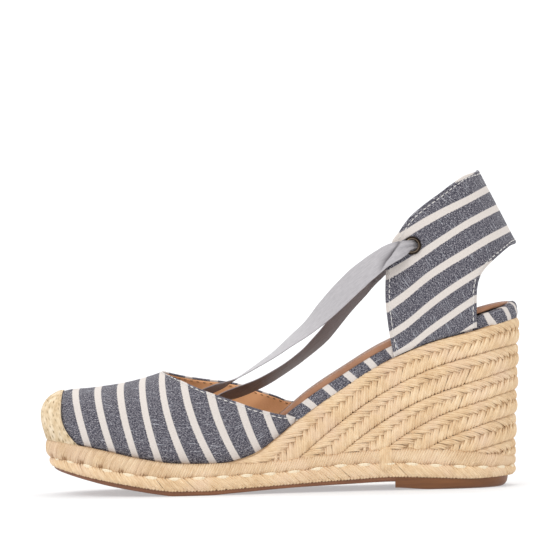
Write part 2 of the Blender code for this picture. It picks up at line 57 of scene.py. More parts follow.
TOE_ROUND, HEEL_ROUND, ROUND_POWER = 50.0, 30.0, 2.2
TREAD_TIP, BRAID_TIP, BAND_TIP, VAMP_TIP, BED_TIP = 5.0, 5.4, 3.4, 1.6, 7.6
LIFT_FRONT, LIFT_BACK = 181.5, 240.6
ROPE_BACK, BACK_LEAN, INSOLE_BACK = 241.4, 0.052, 242.2
VAMP_WALL, CAP_WALL, QUARTER_WALL = 1.8, 1.2, 1.8
VAMP_SIDE, BED_CLEARANCE = -1.5, 0.8
TOE_POLE, THROAT = 20.0, 63.0
WING_END = {"lateral": 132.0, "medial": 138.0}
CAP_EDGE, CAP_SWEEP, CAP_SWEEP_LOW, CAP_SWEEP_HIGH = 12.0, 8.9, 26.0, 44.0
FOOT_SHARE, RIB_EASE, GAP = 0.28, 1.25, 0.34
EYELET_X, EYELET_Z = 69.5, 123.9
EYELET_HOLE, EYELET_FLANGE = 2.8, 4.7
SEAM_BACK = 246.0
NO_TIP = 1e4

AXIS = {"t": (0, 30, 60, 250), "y": (5.0, 3.3, 1.5, 1.5)}
PLAN = {
    "t": (0, 30, 52, 70, 92, 114, 137, 162, 190, 220, 250),
    "lateral": (29.5, 36, 41, 44, 42.5, 38.5, 34, 31, 30, 29.5, 28.5),
    "medial": (39.5, 42.5, 44, 43.5, 40, 35.5, 32.5, 31.5, 33, 33, 31.5),
}
LAYERS = {
    "t": (0, 12, 24, 36, 50, 62, 70, 86, 100, 118, 133, 156, 180, 200, 222, 234, 250),
    "tread_low": (15.6, 11.7, 8.4, 5.5, 2.9, 0.9, 0, 0, 0.8, 2.0, 2.8, 3.6, 4.4, 4.4, 4.4, 4.4, 4.4),
    "lift_low": (1.2,) * 13 + (0,) * 4,
    "tread_top": (16.8, 13.4, 10.4, 7.9, 5.4, 3.4, 2.6, 2.5, 3.2, 4.1, 4.9, 6, 7, 6.3, 5.4, 5.8, 6.6),
    "braid_top": (20.4, 18.5, 16.1, 13.4, 10.8, 9.4, 8.9, 9.1, 9.5, 10.1, 11.0,
                  13.3, 13.6, 12.4, 10.9, 10.3, 9.8),
    "band_top": (29.0, 27.2, 25.2, 22.6, 19.4, 17.2, 16.2, 15.7, 15.9, 16.6, 17.8,
                 19.9, 21.4, 21.0, 18.8, 17.0, 15.0),
}
BED = {
    "t": (0, 24, 43, 60, 74, 86, 98, 106, 113, 125, 136, 154, 175, 200, 220, 238, 250),
    "platform": (29, 25, 20, 17, 15.5, 15.5, 16.4, 18.5, 21.5, 30.2, 39.2,
                 51.3, 63.9, 74.2, 80.0, 85.2, 88.3),
    "rand": (33.8, 30.0, 25.7, 22.3, 20.8, 20.9, 23.0, 25.6, 28.6, 37.2, 46.2,
             57.9, 70.3, 80.8, 86.8, 92.0, 93.9),
    "insole": (37.2, 33.4, 29.1, 25.7, 24.2, 24.3, 26.4, 29.0, 32.0, 40.6, 49.6,
               61.2, 73.5, 83.8, 89.4, 93.8, 95.2),
}
SEAMS = {
    "front_t": (133.5, 155, 177, 198.5, 221),
    "front_z": (17.8, 19.8, 21.3, 21.0, 18.9),
    "front_slope": (0.94, 0.88, 0.76, 0.58, 0.30),
    "back_z": (73.2, 62.2, 50.3, 37.8, 25.0),
    "back_slope": (0.15, 0.31, 0.24, 0.21, 0.20),
}
ROW_FRONTS = (100.0, 135.5, 157.0, 179.0, 200.5, 223.0)
ROW_WIDEST = (19.4, 17.0, 16.0, 15.5, 13.5, 10.5)
SPLICE = 176.8
TUCK = {"t": (0, 172, 179, 226, 232, 250), "inset": (-0.8, -0.8, -2.8, -2.8, -0.8, -0.8)}
LAST = {
    "t": (0, 20, 34, 53, 63, 74, 87, 102, 117, 138),
    "ridge": (54.0, 54.0, 55.2, 58.9, 61.8, 66.5, 72.0, 78.5, 85.5, 94.5),
    "ridge_y": (5.5, 5.5, 5.5, 5.0, 4.5, 3.5, 2.5, 1.5, 1.5, 1.5),
    "widest": (12.0, 11.5, 11.0, 10.0, 10.0, 10.0, 10.0, 9.0, 8.0, 6.0),
    "undercut": (2.6, 2.8, 3.0, 3.0, 3.0, 3.0, 2.8, 2.2, 1.6, 1.0),
    "power": (1.00, 0.80, 0.79, 0.86, 0.88, 0.90, 0.92, 0.92, 0.92, 0.92),
}
TOPLINE = {
    "t": (63, 67, 74, 84, 91, 101, 110, 120, 126, 132, 138),
    "lateral": (61.8, 60.9, 58.4, 54.2, 51.6, 48.0, 44.6, 41.4, 39.7, 38.0, 37.0),
    "medial": (61.8, 60.6, 58.9, 57.2, 56.3, 54.6, 51.4, 47.8, 45.2, 44.0, 43.6),
}
QUARTER = {
    "front_x": (59.0, 56.4, 55.3, 55.9, 58.9, 62.6, 68.0, 75.5, 83.4, 91.0, 98.0, 104.5),
    "front_z": (69.5, 84.0, 98.0, 112.0, 124.8, 130.9, 138.0, 144.3, 149.8, 155.2, 159.4, 161.8),
    "rear_x": (101.5, 101.6, 101.8, 102.1, 103.0, 104.6, 107.2, 110.4, 114.2, 117.8, 120.8, 123.2),
    "rear_z": (81.1, 88.0, 94.5, 100.0, 105.0, 108.8, 112.2, 115.2, 118.4, 121.2, 123.2, 124.1),
}
HEEL_PLAN = {
    "z": (60, 95, 122, 124, 127, 143, 163),
    "back": (246.0, 246.3, 246.3, 246.1, 244.6, 236.7, 226.8),
    "lean": (-0.3, -0.4, -1.4, -1.5, -1.8, -3.2, -5.6),
}
ROUTE = {
    "lateral": {
        "t": (202.5, 198.6, 195.3, 191.8, 188.6, 184.2, 179.9, 171.6, 164.4, 156.6, 147.8, 139,
              129.7, 121.4, 113.2, 107, 102, 96.5, 91.3, 84, 74, 64, 54, 44, 34),
        "y": (24.4, 24.4, 25.9, 29.2, 32.4, 34.2, 34.4, 32.8, 30.8, 28.8, 26.8, 25,
              23.4, 22.2, 21, 20.2, 19.6, 18.8, 17.8, 16.6, 15, 13.6, 12.6, 12, 12),
        "z": (123.5, 123.8, 123.9, 123.7, 122.8, 121.2, 119.2, 113.4, 107.7, 100.5, 91.9, 83.5,
              76.5, 70.2, 65, 61.2, 58.3, 56, 53.8, 50.6, 44.6, 38, 32.8, 30.8, 32.9),
        "turn": (0, 0, 0, 4, 10, 20, 28, 31, 28, 31, 40, 56,
                 67, 75, 80, 84, 88, 95, 101, 103, 99, 92, 90, 90, 90),
        "width": (9, 7, 5.3, 5.7, 7.6, 9.8, 11.3, 13.9, 14.5) + (14.5,) * 16,
    },
    "medial": {
        "t": (202.5, 198.6, 195.3, 191.8, 188.4, 182, 174, 166.2, 157.5, 147, 142, 133.6,
              123.1, 112.6, 102.2, 96, 88, 78, 68, 58, 48, 38),
        "y": (26.6, 26.6, 28.1, 31.4, 34.6, 36, 33, 29.2, 25.6, 22.4, 21.2, 19.6,
              18.4, 17.8, 17.2, 16.8, 16.2, 15.2, 14.2, 13.4, 13, 12.8),
        "z": (123.5, 123.8, 123.9, 123.8, 122.4, 117.6, 110.9, 101.9, 92, 79, 74.1, 66.9,
              59.8, 54.1, 50.1, 48.2, 45, 40.6, 35.6, 31.4, 30.2, 32.2),
        "turn": (0, 0, 0, 0, -6, -14, -28, -38, -46, -53, -58, -66,
                 -69, -68, -66, -68, -74, -82, -88, -90, -90, -90),
        "width": (9, 7, 5.2, 5.2, 6.4, 10, 13.5) + (14.5,) * 15,
    },
}

# Middle of each cream stripe of the vamp: its station on the ridge and at the foot of the cloth.
VAMP_STRIPES = {
    "ridge": (5, 16.7, 28.7, 41.3, 53.2, 63.5, 74.9, 87.7, 101.8, 112.7, 120, 130, 141),
    "foot": (14, 26.1, 39, 50.7, 62.4, 76.3, 90.2, 102.3, 113.1, 122.2, 130.9, 140, 150),
}
# Middle of each cream stripe of the quarter: its height at seven stations.
QUARTER_STRIPES = {
    "t": (180, 190, 200, 210, 221, 232, 243),
    "z": ((39.4, 45.1, 52.6, 59.4, 66.7, 72.9, 78.4), (53.2, 58.9, 66.4, 73.2, 80.5, 86.7, 92.2),
          (67, 72.7, 80.2, 87, 94.3, 100.5, 106), (78, 84.5, 92.6, 99.9, 106.8, 113, 118.5),
          (92.6, 99.8, 107.8, 114.1, 120.3, 126.5, 131.7), (109.3, 114.7, 121.2, 127.7, 134.5, 140, 145),
          (124.5, 130.2, 136, 141, 146, 151.6, 156), (138.1, 143.8, 149.6, 154.6, 159.6, 165.1, 169.6)),
}
STRIPE_PITCH, STRIPE_SHARE, STRIPE_RISE = 11.4, 0.305, 46
# The rand's stripes: their pitch, their share of it, and the station where one is centred.
RAND_PITCH, RAND_SHARE, RAND_STRIPE = 12.35, 0.30, 139.3
KNOT_WIDE, KNOT_HIGH = 3.2, 3.1
SLAB_SPACING, SLAB_ACROSS = 1.2, 15
VAMP_CLOTH, VAMP_LINING, QUARTER_CLOTH, QUARTER_LINING = 0.7, 0.6, 0.9, 0.75
EYELET_CUT, RIBBON_WIDTH = 4.1, 14.5
RIBBON_STEPS, RIBBON_ACROSS, RIBBON_HALF_THICK = 240, 31, 0.22
# The crease of a tie: rows of its route, and its place across the tie there, from -1 to 1.
CREASE_LINE = ((4.0, 4.15, 4.9, 5.7, 6.25, 6.7), (0.9, 0.71, 0.15, -0.29, -0.55, -1.0))
# The lip of an eyelet: shares of the way in from its flange to its hole, and its height there.
EYELET_LIP = ((0, 0.08, 0.22, 0.38, 0.52, 0.66, 0.8, 0.93, 1),
              (0, 0.5, 0.85, 0.6, 0.12, 0.18, 0.5, 0.35, 0))


def column(table, name, at, key="t"):
    """A table's column read at any place along its key, on a monotone cubic through its rows.

    A table without the key is read by row number, and a list can be given in place of a name.
    """
    y = np.asarray(table[name] if isinstance(name, str) else name, float)
    x = np.asarray(table.get(key, range(len(y))), float)
    step = np.diff(x)
    rise = np.diff(y) / step
    slope = np.zeros_like(y)
    flat = rise[:-1] * rise[1:] <= 0
    before = 2 * step[1:] + step[:-1]
    after = step[1:] + 2 * step[:-1]
    safe = np.where(flat, 1.0, rise[:-1])
    follow = np.where(flat, 1.0, rise[1:])
    slope[1:-1] = np.where(flat, 0.0, (before + after) / (before / safe + after / follow))
    slope[0], slope[-1] = rise[0], rise[-1]
    at = np.clip(np.asarray(at, float), x[0], x[-1])
    i = np.clip(np.searchsorted(x, at, side="right") - 1, 0, len(step) - 1)
    u = (at - x[i]) / step[i]
    start = y[i] * (1 + 2 * u) * (1 - u) ** 2 + y[i + 1] * u**2 * (3 - 2 * u)
    return start + step[i] * (slope[i] * u * (1 - u) ** 2 - slope[i + 1] * u**2 * (1 - u))


def layer(name, t):
    """Height of one layer of the platform at t."""
    return column(LAYERS, name, t)


def smooth(x):
    """Smooth step from 0 to 1."""
    x = np.clip(x, 0, 1)
    return x * x * (3 - 2 * x)


def unit(vectors):
    """Vectors brought to length 1."""
    return vectors / np.maximum(np.linalg.norm(vectors, axis=-1, keepdims=True), 1e-9)


def pair(u, v):
    """Pattern coordinates from their two numbers, each spread over the other's shape."""
    return np.stack(np.broadcast_arrays(u, v), axis=-1)


def summed(steps):
    """Running total of some steps, from 0."""
    return np.concatenate([[0], np.cumsum(steps)])


def lengths(line):
    """Length along a line up to each of its points."""
    return summed(np.linalg.norm(np.diff(line, axis=0), axis=1))


def read_line(line, arc, at):
    """Points, or normals, of a line at some lengths along it."""
    return np.stack([np.interp(at, arc, line[:, k]) for k in range(3)], axis=-1)


def rounding(distance, reach):
    """Share of the full width at a distance from an end that is rounded over the reach."""
    q = np.clip(1 - distance / reach, 0, 1)
    return (1 - q**ROUND_POWER) ** (1 / ROUND_POWER)


def half_width(side, t, tip, back, grow=0.0):
    """How far the outline lies to this side at t; both rounded ends close on the middle line."""
    middle = column(AXIS, "y", t) * SIGN[side]
    width = column(PLAN, side, t) + grow
    return (width - middle) * rounding(t - tip, TOE_ROUND) * rounding(back - t, HEEL_ROUND) + middle


def platform_top(t):
    """Height of the platform's top at t: the foot bed's board, or the band where that is higher."""
    return np.maximum(column(BED, "platform", t), layer("band_top", t))


def seam(number, t):
    """Height of one seam of the wedge at t: a cubic to the back, and straight ahead of its front."""
    front = SEAMS["front_t"][number]
    reach = SEAM_BACK - front
    t = np.asarray(t, float)
    u = np.clip((t - front) / reach, 0, 1.02)
    rise = SEAMS["front_slope"][number] * reach
    settle = SEAMS["back_slope"][number] * reach
    start = SEAMS["front_z"][number] * (1 + 2 * u) * (1 - u) ** 2 + rise * u * (1 - u) ** 2
    end = SEAMS["back_z"][number] * u**2 * (3 - 2 * u) - settle * u**2 * (1 - u)
    return start + end - SEAMS["front_slope"][number] * np.maximum(front - t, 0)


def outline(back, tip=None, start=None, spacing=0.8):
    """Plan of the shoe as evenly spaced points: lateral side, heel, medial side.

    With a tip it closes round the toe; otherwise both sides begin at the start station. Gives
    the arc length, station, place across and outward normal of each point.
    """
    closed = tip is not None
    front, reach = (tip, tip) if closed else (start, -NO_TIP)
    u = np.linspace(0, 1, 900)
    ease = (1 - np.cos(np.pi * u)) / 2 if closed else np.sin(np.pi / 2 * u)
    t = front + (back - front) * ease
    lateral, medial = (sign * half_width(side, t, reach, back) for side, sign in SIGN.items())
    t, y = np.concatenate([t, t[-2::-1]]), np.concatenate([lateral, medial[-2::-1]])
    arc = summed(np.hypot(np.diff(t), np.diff(y)))
    even = np.linspace(0, arc[-1], int(round(arc[-1] / spacing)) + 1)
    t, y = np.interp(even, arc, t), np.interp(even, arc, y)
    over = 2 if closed else 0
    joined = [np.concatenate([v[-1 - over:-1], v, v[1:1 + over]]) if closed else v for v in (t, y)]
    dt, dy = (np.gradient(v)[over:over + len(t)] for v in joined)
    size = np.hypot(dt, dy)
    return {"arc": even, "t": t, "y": y, "nx": dy / size, "ny": -dt / size, "closed": closed}


def on_outline(path, arc, out, z):
    """Points standing out from an outline at an arc length and height, and their normals.

    The heel leans back with height: its rounded end moves back by BACK_LEAN of the height.
    """
    arc, out, z = np.broadcast_arrays(arc, out, z)
    if path["closed"]:
        arc = np.mod(arc, path["arc"][-1])
    t, y, nx, ny = (np.interp(arc, path["arc"], path[name]) for name in ("t", "y", "nx", "ny"))
    lean = BACK_LEAN * z * smooth((t - 200) / 24)
    normal = unit(np.stack([nx, ny, np.zeros_like(nx)], axis=-1))
    x = t + TOE_X + lean + normal[..., 0] * out
    return np.stack([x, y + normal[..., 1] * out, z], axis=-1), normal


# ---------------------------------------------------------------- making meshes

def grid_faces(rows, columns, round_rows=False, round_columns=False):
    """Quads of a grid of points, closed round in either direction."""
    i = np.arange(rows if round_rows else rows - 1)
    j = np.arange(columns if round_columns else columns - 1)
    i, j = np.meshgrid(i, j, indexing="ij")
    across, below = (j + 1) % columns, (i + 1) % rows
    quads = [i * columns + j, i * columns + across, below * columns + across, below * columns + j]
    return np.stack(quads, axis=-1).reshape(-1, 4)


def ring_caps(rows, columns):
    """Quads that close both ends of a tube, fanned across each end ring two corners at a time."""
    first = np.array([(0, j + 2, j + 1, j) for j in range(1, columns - 2, 2)])
    last = first[:, ::-1] + (rows - 1) * columns
    return np.concatenate([first, last])


def volume(points, faces):
    """Six times the signed volume inside a closed mesh of quads."""
    a, b, c, d = (points[faces[:, k]] for k in range(4))
    return np.einsum("ij,ij->", a, np.cross(b, c)) + np.einsum("ij,ij->", a, np.cross(c, d))


def tube(rings, uv, round_rows=False):
    """A closed skin over rings of points (rows, around, 3), turned to face outwards."""
    rows, around = rings.shape[:2]
    faces = grid_faces(rows, around, round_rows, True)
    if not round_rows:
        faces = np.concatenate([faces, ring_caps(rows, around)])
    points = rings.reshape(-1, 3)
    if volume(points, faces) < 0:
        faces = faces[:, ::-1]
    return points, faces, uv.reshape(-1, 2)


def open_sheet(points, uv, outward):
    """A sheet over a grid of points, its faces turned to the side that outward points to."""
    faces = grid_faces(*points.shape[:2])
    flat, outward = points.reshape(-1, 3), outward.reshape(-1, 3)
    facing = np.cross(flat[faces[:, 2]] - flat[faces[:, 0]], flat[faces[:, 3]] - flat[faces[:, 1]])
    if np.einsum("ij,ij->", facing, outward[faces[:, 0]]) < 0:
        faces = faces[:, ::-1]
    return flat, faces, uv.reshape(-1, 2)


def linked(name, data):
    """An object of some data, put into the scene."""
    made = bpy.data.objects.new(name, data)
    bpy.context.scene.collection.objects.link(made)
    return made


def painted(mesh, name, values):
    """Marks each point of a mesh with a number that its material reads."""
    mark = mesh.attributes.new(name, "FLOAT", "POINT")
    mark.data.foreach_set("value", values.astype(np.float32).ravel())


def piece(name, skins, material, slot, *nodes, merge=False):
    """One object from skins: points, quads, pattern coordinates in mm, perhaps painted shade or
    highlight.
    """
    points, uv = (np.concatenate([skin[k] for skin in skins]) for k in (0, 2))
    starts = summed([len(skin[0]) for skin in skins[:-1]]).astype(int)
    faces = np.concatenate([skin[1] + start for skin, start in zip(skins, starts)])
    mesh = bpy.data.meshes.new(name)
    mesh.from_pydata((points * MM).tolist(), [], faces.tolist())
    corner = np.empty(len(mesh.loops), np.int32)
    mesh.loops.foreach_get("vertex_index", corner)
    mesh.uv_layers.new(name="pattern").data.foreach_set("uv", uv[corner].astype(np.float32).ravel())
    if len(skins[0]) > 3:
        painted(mesh, "shade", np.concatenate([skin[3] for skin in skins]))
    if merge:
        work = bmesh.new()
        work.from_mesh(mesh)
        bmesh.ops.remove_doubles(work, verts=work.verts, dist=0.00002)
        bmesh.ops.dissolve_degenerate(work, edges=work.edges, dist=0.000005)
        work.to_mesh(mesh)
        work.free()
    mesh.shade_smooth()
    mesh.set_sharp_from_angle(angle=math.radians(50))
    mesh.materials.append(material)
    made = linked(name, mesh)
    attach(made, "root")
    if nodes:
        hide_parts(*nodes)
    return made


def wall(item, thickness):
    """Gives a sheet its thickness, inwards from its outer face."""
    shell = item.modifiers.new("wall", "SOLIDIFY")
    shell.thickness = thickness * MM
    shell.offset = -1
    shell.use_even_offset = False
    shell.use_rim = True


def sweep(centre, normal, wide, high, around=6, shift=0.0, shade=None, side_shade=0.0):
    """Many closed round strands: an ellipse carried along each path, its height along the normal.

    centre and normal are (strands, steps, 3), and wide and high are half sizes. The pattern runs
    (length along the strand, height round it from -1 to 1). shade is painted shade, side_shade paints
    shade on one side of the ring or the other by its sign, and the underside of every ring gets a
    little painted shade. Every size and shade may vary by strand and step.
    """
    strands, steps = centre.shape[:2]
    wide, high, side_shade = (np.broadcast_to(v, (strands, steps))[..., None]
                              for v in (wide, high, side_shade))
    along = unit(np.gradient(centre, axis=1))
    across = unit(np.cross(along, normal))
    up = np.cross(across, along)
    angle = 2 * np.pi * np.arange(around) / around - np.pi / 2
    ring = across[:, :, None] * (wide * np.cos(angle))[..., None]
    ring = ring + up[:, :, None] * (high * np.sin(angle))[..., None]
    points = centre[:, :, None] + ring
    length = np.cumsum(np.linalg.norm(np.diff(centre, axis=1, prepend=centre[:, :1]), axis=2), axis=1)
    uv = pair((length + shift)[..., None], np.sin(angle)).reshape(-1, 2)
    one = np.concatenate([grid_faces(steps, around, False, True), ring_caps(steps, around)])
    if volume(points[0].reshape(-1, 3), one) < 0:
        one = one[:, ::-1]
    starts = np.arange(strands) * steps * around
    skin = points.reshape(-1, 3), (one[None] + starts[:, None, None]).reshape(-1, 4), uv
    if shade is None:
        return skin
    shade = np.broadcast_to(shade, (strands, steps))[..., None]
    # Painted shade: the given shade, one flank by side_shade, and the underside of each ring.
    dark = shade + np.clip(side_shade * np.cos(angle), 0, 1) + 0.25 * np.clip(-np.sin(angle), 0, 1)
    return *skin, np.clip(dark, 0, 1).ravel()


# ---------------------------------------------------------------- materials

class Number:
    """A number in a material: adding, subtracting or multiplying makes the node that does it."""

    def __init__(self, look, socket):
        self.look, self.socket = look, socket

    def __add__(self, other):
        return self.look.maths("ADD", self, other)

    def __sub__(self, other):
        return self.look.maths("SUBTRACT", self, other)

    def __mul__(self, other):
        return self.look.maths("MULTIPLY", self, other)

    def clamped(self):
        """The same number kept between 0 and 1."""
        self.socket.node.use_clamp = True
        return self


class Look:
    """A material in the making: its node tree, and its shader with some sockets set."""

    def __init__(self, name, sockets):
        self.material = bpy.data.materials.new(name)
        self.material.use_nodes = True
        self.tree = self.material.node_tree
        self.shader = self.tree.nodes["Principled BSDF"]
        for socket, value in sockets.items():
            self.shader.inputs[socket].default_value = value

    def node(self, kind, inputs=(), **settings):
        """A node of a kind with its settings, its inputs set to values or linked to other nodes."""
        made = self.tree.nodes.new("ShaderNode" + kind)
        for name, value in settings.items():
            setattr(made, name, value)
        for name, value in dict(inputs).items():
            value = value.socket if isinstance(value, Number) else value
            if isinstance(value, bpy.types.NodeSocket):
                self.tree.links.new(value, made.inputs[name])
            else:
                made.inputs[name].default_value = value
        return made

    def maths(self, operation, *values):
        """A number worked out from others."""
        return Number(self, self.node("Math", enumerate(values), operation=operation).outputs[0])

    def mark(self, name):
        """A number painted on the mesh."""
        return Number(self, self.node("Attribute", attribute_name=name).outputs["Fac"])

    def axes(self):
        """The piece's two pattern coordinates, as numbers."""
        source = self.node("UVMap", uv_map="pattern").outputs[0]
        return [Number(self, out) for out in self.node("SeparateXYZ", {0: source}).outputs[:2]]

    def pattern(self, across, along):
        """The piece's pattern coordinates, scaled in their two directions."""
        source = self.node("UVMap", uv_map="pattern").outputs[0]
        return self.node("Mapping", {"Vector": source, "Scale": (across, along, 1)}).outputs[0]

    def solid(self, scale=(1, 1, 1)):
        """The object's own coordinates, scaled in their three directions."""
        source = self.node("TexCoord").outputs["Object"]
        return self.node("Mapping", {"Vector": source, "Scale": scale}).outputs[0]

    def noise(self, vector, scale=1.0, detail=2.0, roughness=0.5):
        """Smooth noise over some coordinates, as a number."""
        inputs = {"Vector": vector, "Scale": scale, "Detail": detail, "Roughness": roughness}
        return Number(self, self.node("TexNoise", inputs).outputs["Fac"])

    def ramp(self, value, *stops):
        """A colour ramp through (place, colour) stops."""
        made = self.node("ValToRGB", {"Fac": value})
        points = made.color_ramp.elements
        while len(points) < len(stops):
            points.new(0.5)
        for point, (place, colour) in zip(points, stops):
            point.position = place
            point.color = (*colour, 1)
        return made.outputs[0]

    def mixed(self, share, ground, top):
        """One colour laid over another by a share from 0 to 1."""
        top = (*top, 1) if isinstance(top, tuple) else top
        return self.node("MixRGB", {"Fac": share, "Color1": ground, "Color2": top}).outputs[0]

    def done(self, colour, height=None, distance=0.0, strength=1.0):
        """The material, given its colour and, from a height, its relief in millimetres."""
        self.tree.links.new(colour, self.shader.inputs["Base Color"])
        if height is not None:
            inputs = {"Height": height, "Distance": distance * MM, "Strength": strength}
            self.tree.links.new(self.node("Bump", inputs).outputs[0], self.shader.inputs["Normal"])
        return self.material


def chambray(name, pitch, share):
    """Striped cloth: cream stripes across the first pattern direction, heathered navy between.

    Weft runs across the stripes and warp along them; each is noise stretched along its threads.
    Slubs are the few thick wefts. A stripe's edge follows the weft, so that it is finely toothed.
    """
    look = Look(name, {"Roughness": 0.92, "Sheen Weight": 0.08, "Sheen Roughness": 0.5,
                       "Specular IOR Level": 0.15})
    weft = look.noise(look.pattern(0.95, 3.7), 1.0, 1.0)
    warp = look.noise(look.pattern(3.7, 1.1), 1.0, 1.0)
    speck = look.noise(look.pattern(3.3, 3.3), 1.0, 1.5, 0.6)
    woven = weft * 0.38 + warp * 0.24 + speck * 0.38
    navy = look.ramp(woven, (0.39, (0.022, 0.021, 0.034)), (0.47, (0.050, 0.048, 0.066)),
                     (0.53, (0.125, 0.120, 0.142)), (0.61, (0.52, 0.50, 0.53)))
    slub = (look.noise(look.pattern(0.13, 1.9), 1.0, 0.0) - 0.655).clamped()
    navy = look.mixed((slub * (speck * 9.0)).clamped(), navy, (0.45, 0.46, 0.50))
    cream = look.ramp(woven, (0.36, (0.60, 0.54, 0.50)), (0.58, (0.72, 0.665, 0.62)))
    place = look.maths("DIVIDE", look.axes()[0] + (weft - 0.5) * 0.9, pitch)
    from_middle = look.maths("SUBTRACT", share / 2, look.maths("PINGPONG", place, 0.5))
    return look.done(look.mixed((from_middle * 60.0 + 0.5).clamped(), navy, cream), woven, 0.45, 0.6)


def jute(name, tint):
    """Jute yarn: straw fibres streaked along the strand, with painted shade down between the strands."""
    look = Look(name, {"Roughness": 0.85, "Specular IOR Level": 0.25})
    along, height = look.axes()
    spun = look.node("CombineXYZ", {0: along * 0.32, 1: height * 2.6}).outputs[0]
    twist = look.node("CombineXYZ", {0: along * 1.5 + height, 1: height}).outputs[0]
    fibre = look.noise(spun, 1.0, 3.0, 0.65)
    tones = ((0.30, (0.62, 0.415, 0.235)), (0.44, (0.765, 0.55, 0.335)),
             (0.56, (0.85, 0.645, 0.42)), (0.70, (0.94, 0.765, 0.545)))
    tones = [(at, tuple(c * k for c, k in zip(tone, tint))) for at, tone in tones]
    straw = look.ramp(fibre * 0.62 + look.noise(look.solid(), 95.0) * 0.38, *tones)
    blush = (look.noise(look.solid(), 62.0) - 0.46).clamped()
    straw = look.mixed((blush * 3.0).clamped(), straw, (0.80, 0.60, 0.43))
    # The shade mark is painted shade, mixed towards dark brown.
    colour = look.mixed((look.mark("shade") * 0.8).clamped(), straw, (0.30, 0.155, 0.07))
    return look.done(colour, fibre + look.noise(twist, 1.3, 1.0), 0.35, 0.7)


def raffia(name):
    """The knotted cap: mottled pale straw, with painted shade in the pits between its stitches."""
    look = Look(name, {"Roughness": 0.8, "Specular IOR Level": 0.3})
    mottle = look.noise(look.solid(), 190.0, 3.0, 0.6)
    straw = look.ramp(mottle, (0.34, (0.60, 0.44, 0.26)), (0.5, (0.74, 0.58, 0.38)),
                      (0.64, (0.86, 0.72, 0.53)))
    # The pit mark is painted shade, mixed towards dark brown.
    pit = (look.mark("pit") * 0.95).clamped()
    return look.done(look.mixed(pit, straw, (0.19, 0.13, 0.055)), mottle, 0.4, 0.5)


def leather(name, light, dark, roughness):
    """Smooth tanned leather: soft mottling and fine grain."""
    look = Look(name, {"Roughness": roughness})
    mottle = look.noise(look.solid(), 42.0, 4.0, 0.6)
    grain = look.node("TexVoronoi", {"Vector": look.solid(), "Scale": 1300.0}).outputs["Distance"]
    return look.done(look.ramp(mottle, (0.3, dark), (0.62, light)), grain, 0.12, 0.5)


def rubber(name, light, dark):
    """Moulded brown rubber: faint scuffs along its length and a fine pebble."""
    look = Look(name, {"Roughness": 0.5})
    scuff = look.noise(look.solid((0.25, 0.25, 3.0)), 160.0, 3.0, 0.6)
    pebble = look.noise(look.solid(), 1400.0, 1.0)
    return look.done(look.ramp(scuff, (0.3, dark), (0.66, light)), pebble, 0.15, 0.4)


def grosgrain(name):
    """Ribbed ribbon: pale grey on one face and taupe on the other, with painted shadow along the fold.
    """
    look = Look(name, {"Roughness": 0.55, "Sheen Weight": 0.3, "Specular IOR Level": 0.35})
    rib = look.maths("SINE", look.axes()[0] * (2 * math.pi / 0.62))
    mottle = look.noise(look.pattern(0.25, 1.4))
    pale = look.ramp(mottle, (0.3, (0.40, 0.383, 0.398)), (0.7, (0.482, 0.462, 0.478)))
    taupe = look.ramp(mottle, (0.3, (0.135, 0.11, 0.115)), (0.7, (0.175, 0.145, 0.15)))
    colour = look.mixed(look.mark("inner_face"), pale, taupe)
    # The crease mark is painted shadow beside the fold.
    return look.done(look.mixed(look.mark("crease"), colour, (0.085, 0.075, 0.085)), rib, 0.08, 0.6)


def brass(name):
    """Antique brass: mottled dark brown, lightened by a painted highlight in a narrow ring on each lip.
    """
    look = Look(name, {"Roughness": 0.34, "Metallic": 0.85})
    patina = look.noise(look.solid(), 420.0, 3.0, 0.7)
    dark = look.ramp(patina, (0.35, (0.016, 0.010, 0.007)), (0.7, (0.062, 0.042, 0.028)))
    # The shade mark holds the painted highlight here.
    return look.done(look.mixed(look.mark("shade"), dark, (0.60, 0.48, 0.37)), patina, 0.05, 0.4)


def thread(name, light, dark):
    """Sewing thread: fibres streaked along the strand."""
    look = Look(name, {"Roughness": 0.6})
    fibre = look.noise(look.pattern(1.4, 1.2))
    return look.done(look.ramp(fibre, (0.3, dark), (0.6, light)), fibre, 0.2, 0.6)


# ---------------------------------------------------------------- camera, light and floor

def camera():
    """A long lens from the lateral side, a little above the instep, rolled slightly."""
    turn, pitch, roll = (math.radians(angle) for angle in (-1.5, 0.796, 1.3))
    distance, height, sideways = 2.7, 0.145, 0.00077
    level = Vector((math.cos(turn), -math.sin(turn), 0))
    ahead = Vector((math.sin(turn), math.cos(turn), 0))
    up = Vector((0, 0, 1))
    look = ahead * math.cos(pitch) - up * math.sin(pitch)
    tall = up * math.cos(pitch) + ahead * math.sin(pitch)
    right = level * math.cos(roll) - tall * math.sin(roll)
    top = level * math.sin(roll) + tall * math.cos(roll)
    data = bpy.data.cameras.new("camera")
    data.sensor_width = 36
    data.lens = 338.66
    data.clip_end = 20
    made = linked("camera", data)
    place = Matrix((right, top, -look)).transposed().to_4x4()
    place.translation = Vector((0.00215, 0.0015, height)) - ahead * distance - level * sideways
    made.matrix_world = place
    bpy.context.scene.camera = made


def area_light(name, place, aim, size, power):
    """A rectangular light at a place, aimed at a point."""
    data = bpy.data.lights.new(name, "AREA")
    data.shape = "RECTANGLE"
    data.size, data.size_y = size
    data.energy = power
    made = linked(name, data)
    made.location = place
    made.rotation_euler = (Vector(aim) - Vector(place)).to_track_quat("-Z", "Y").to_euler()


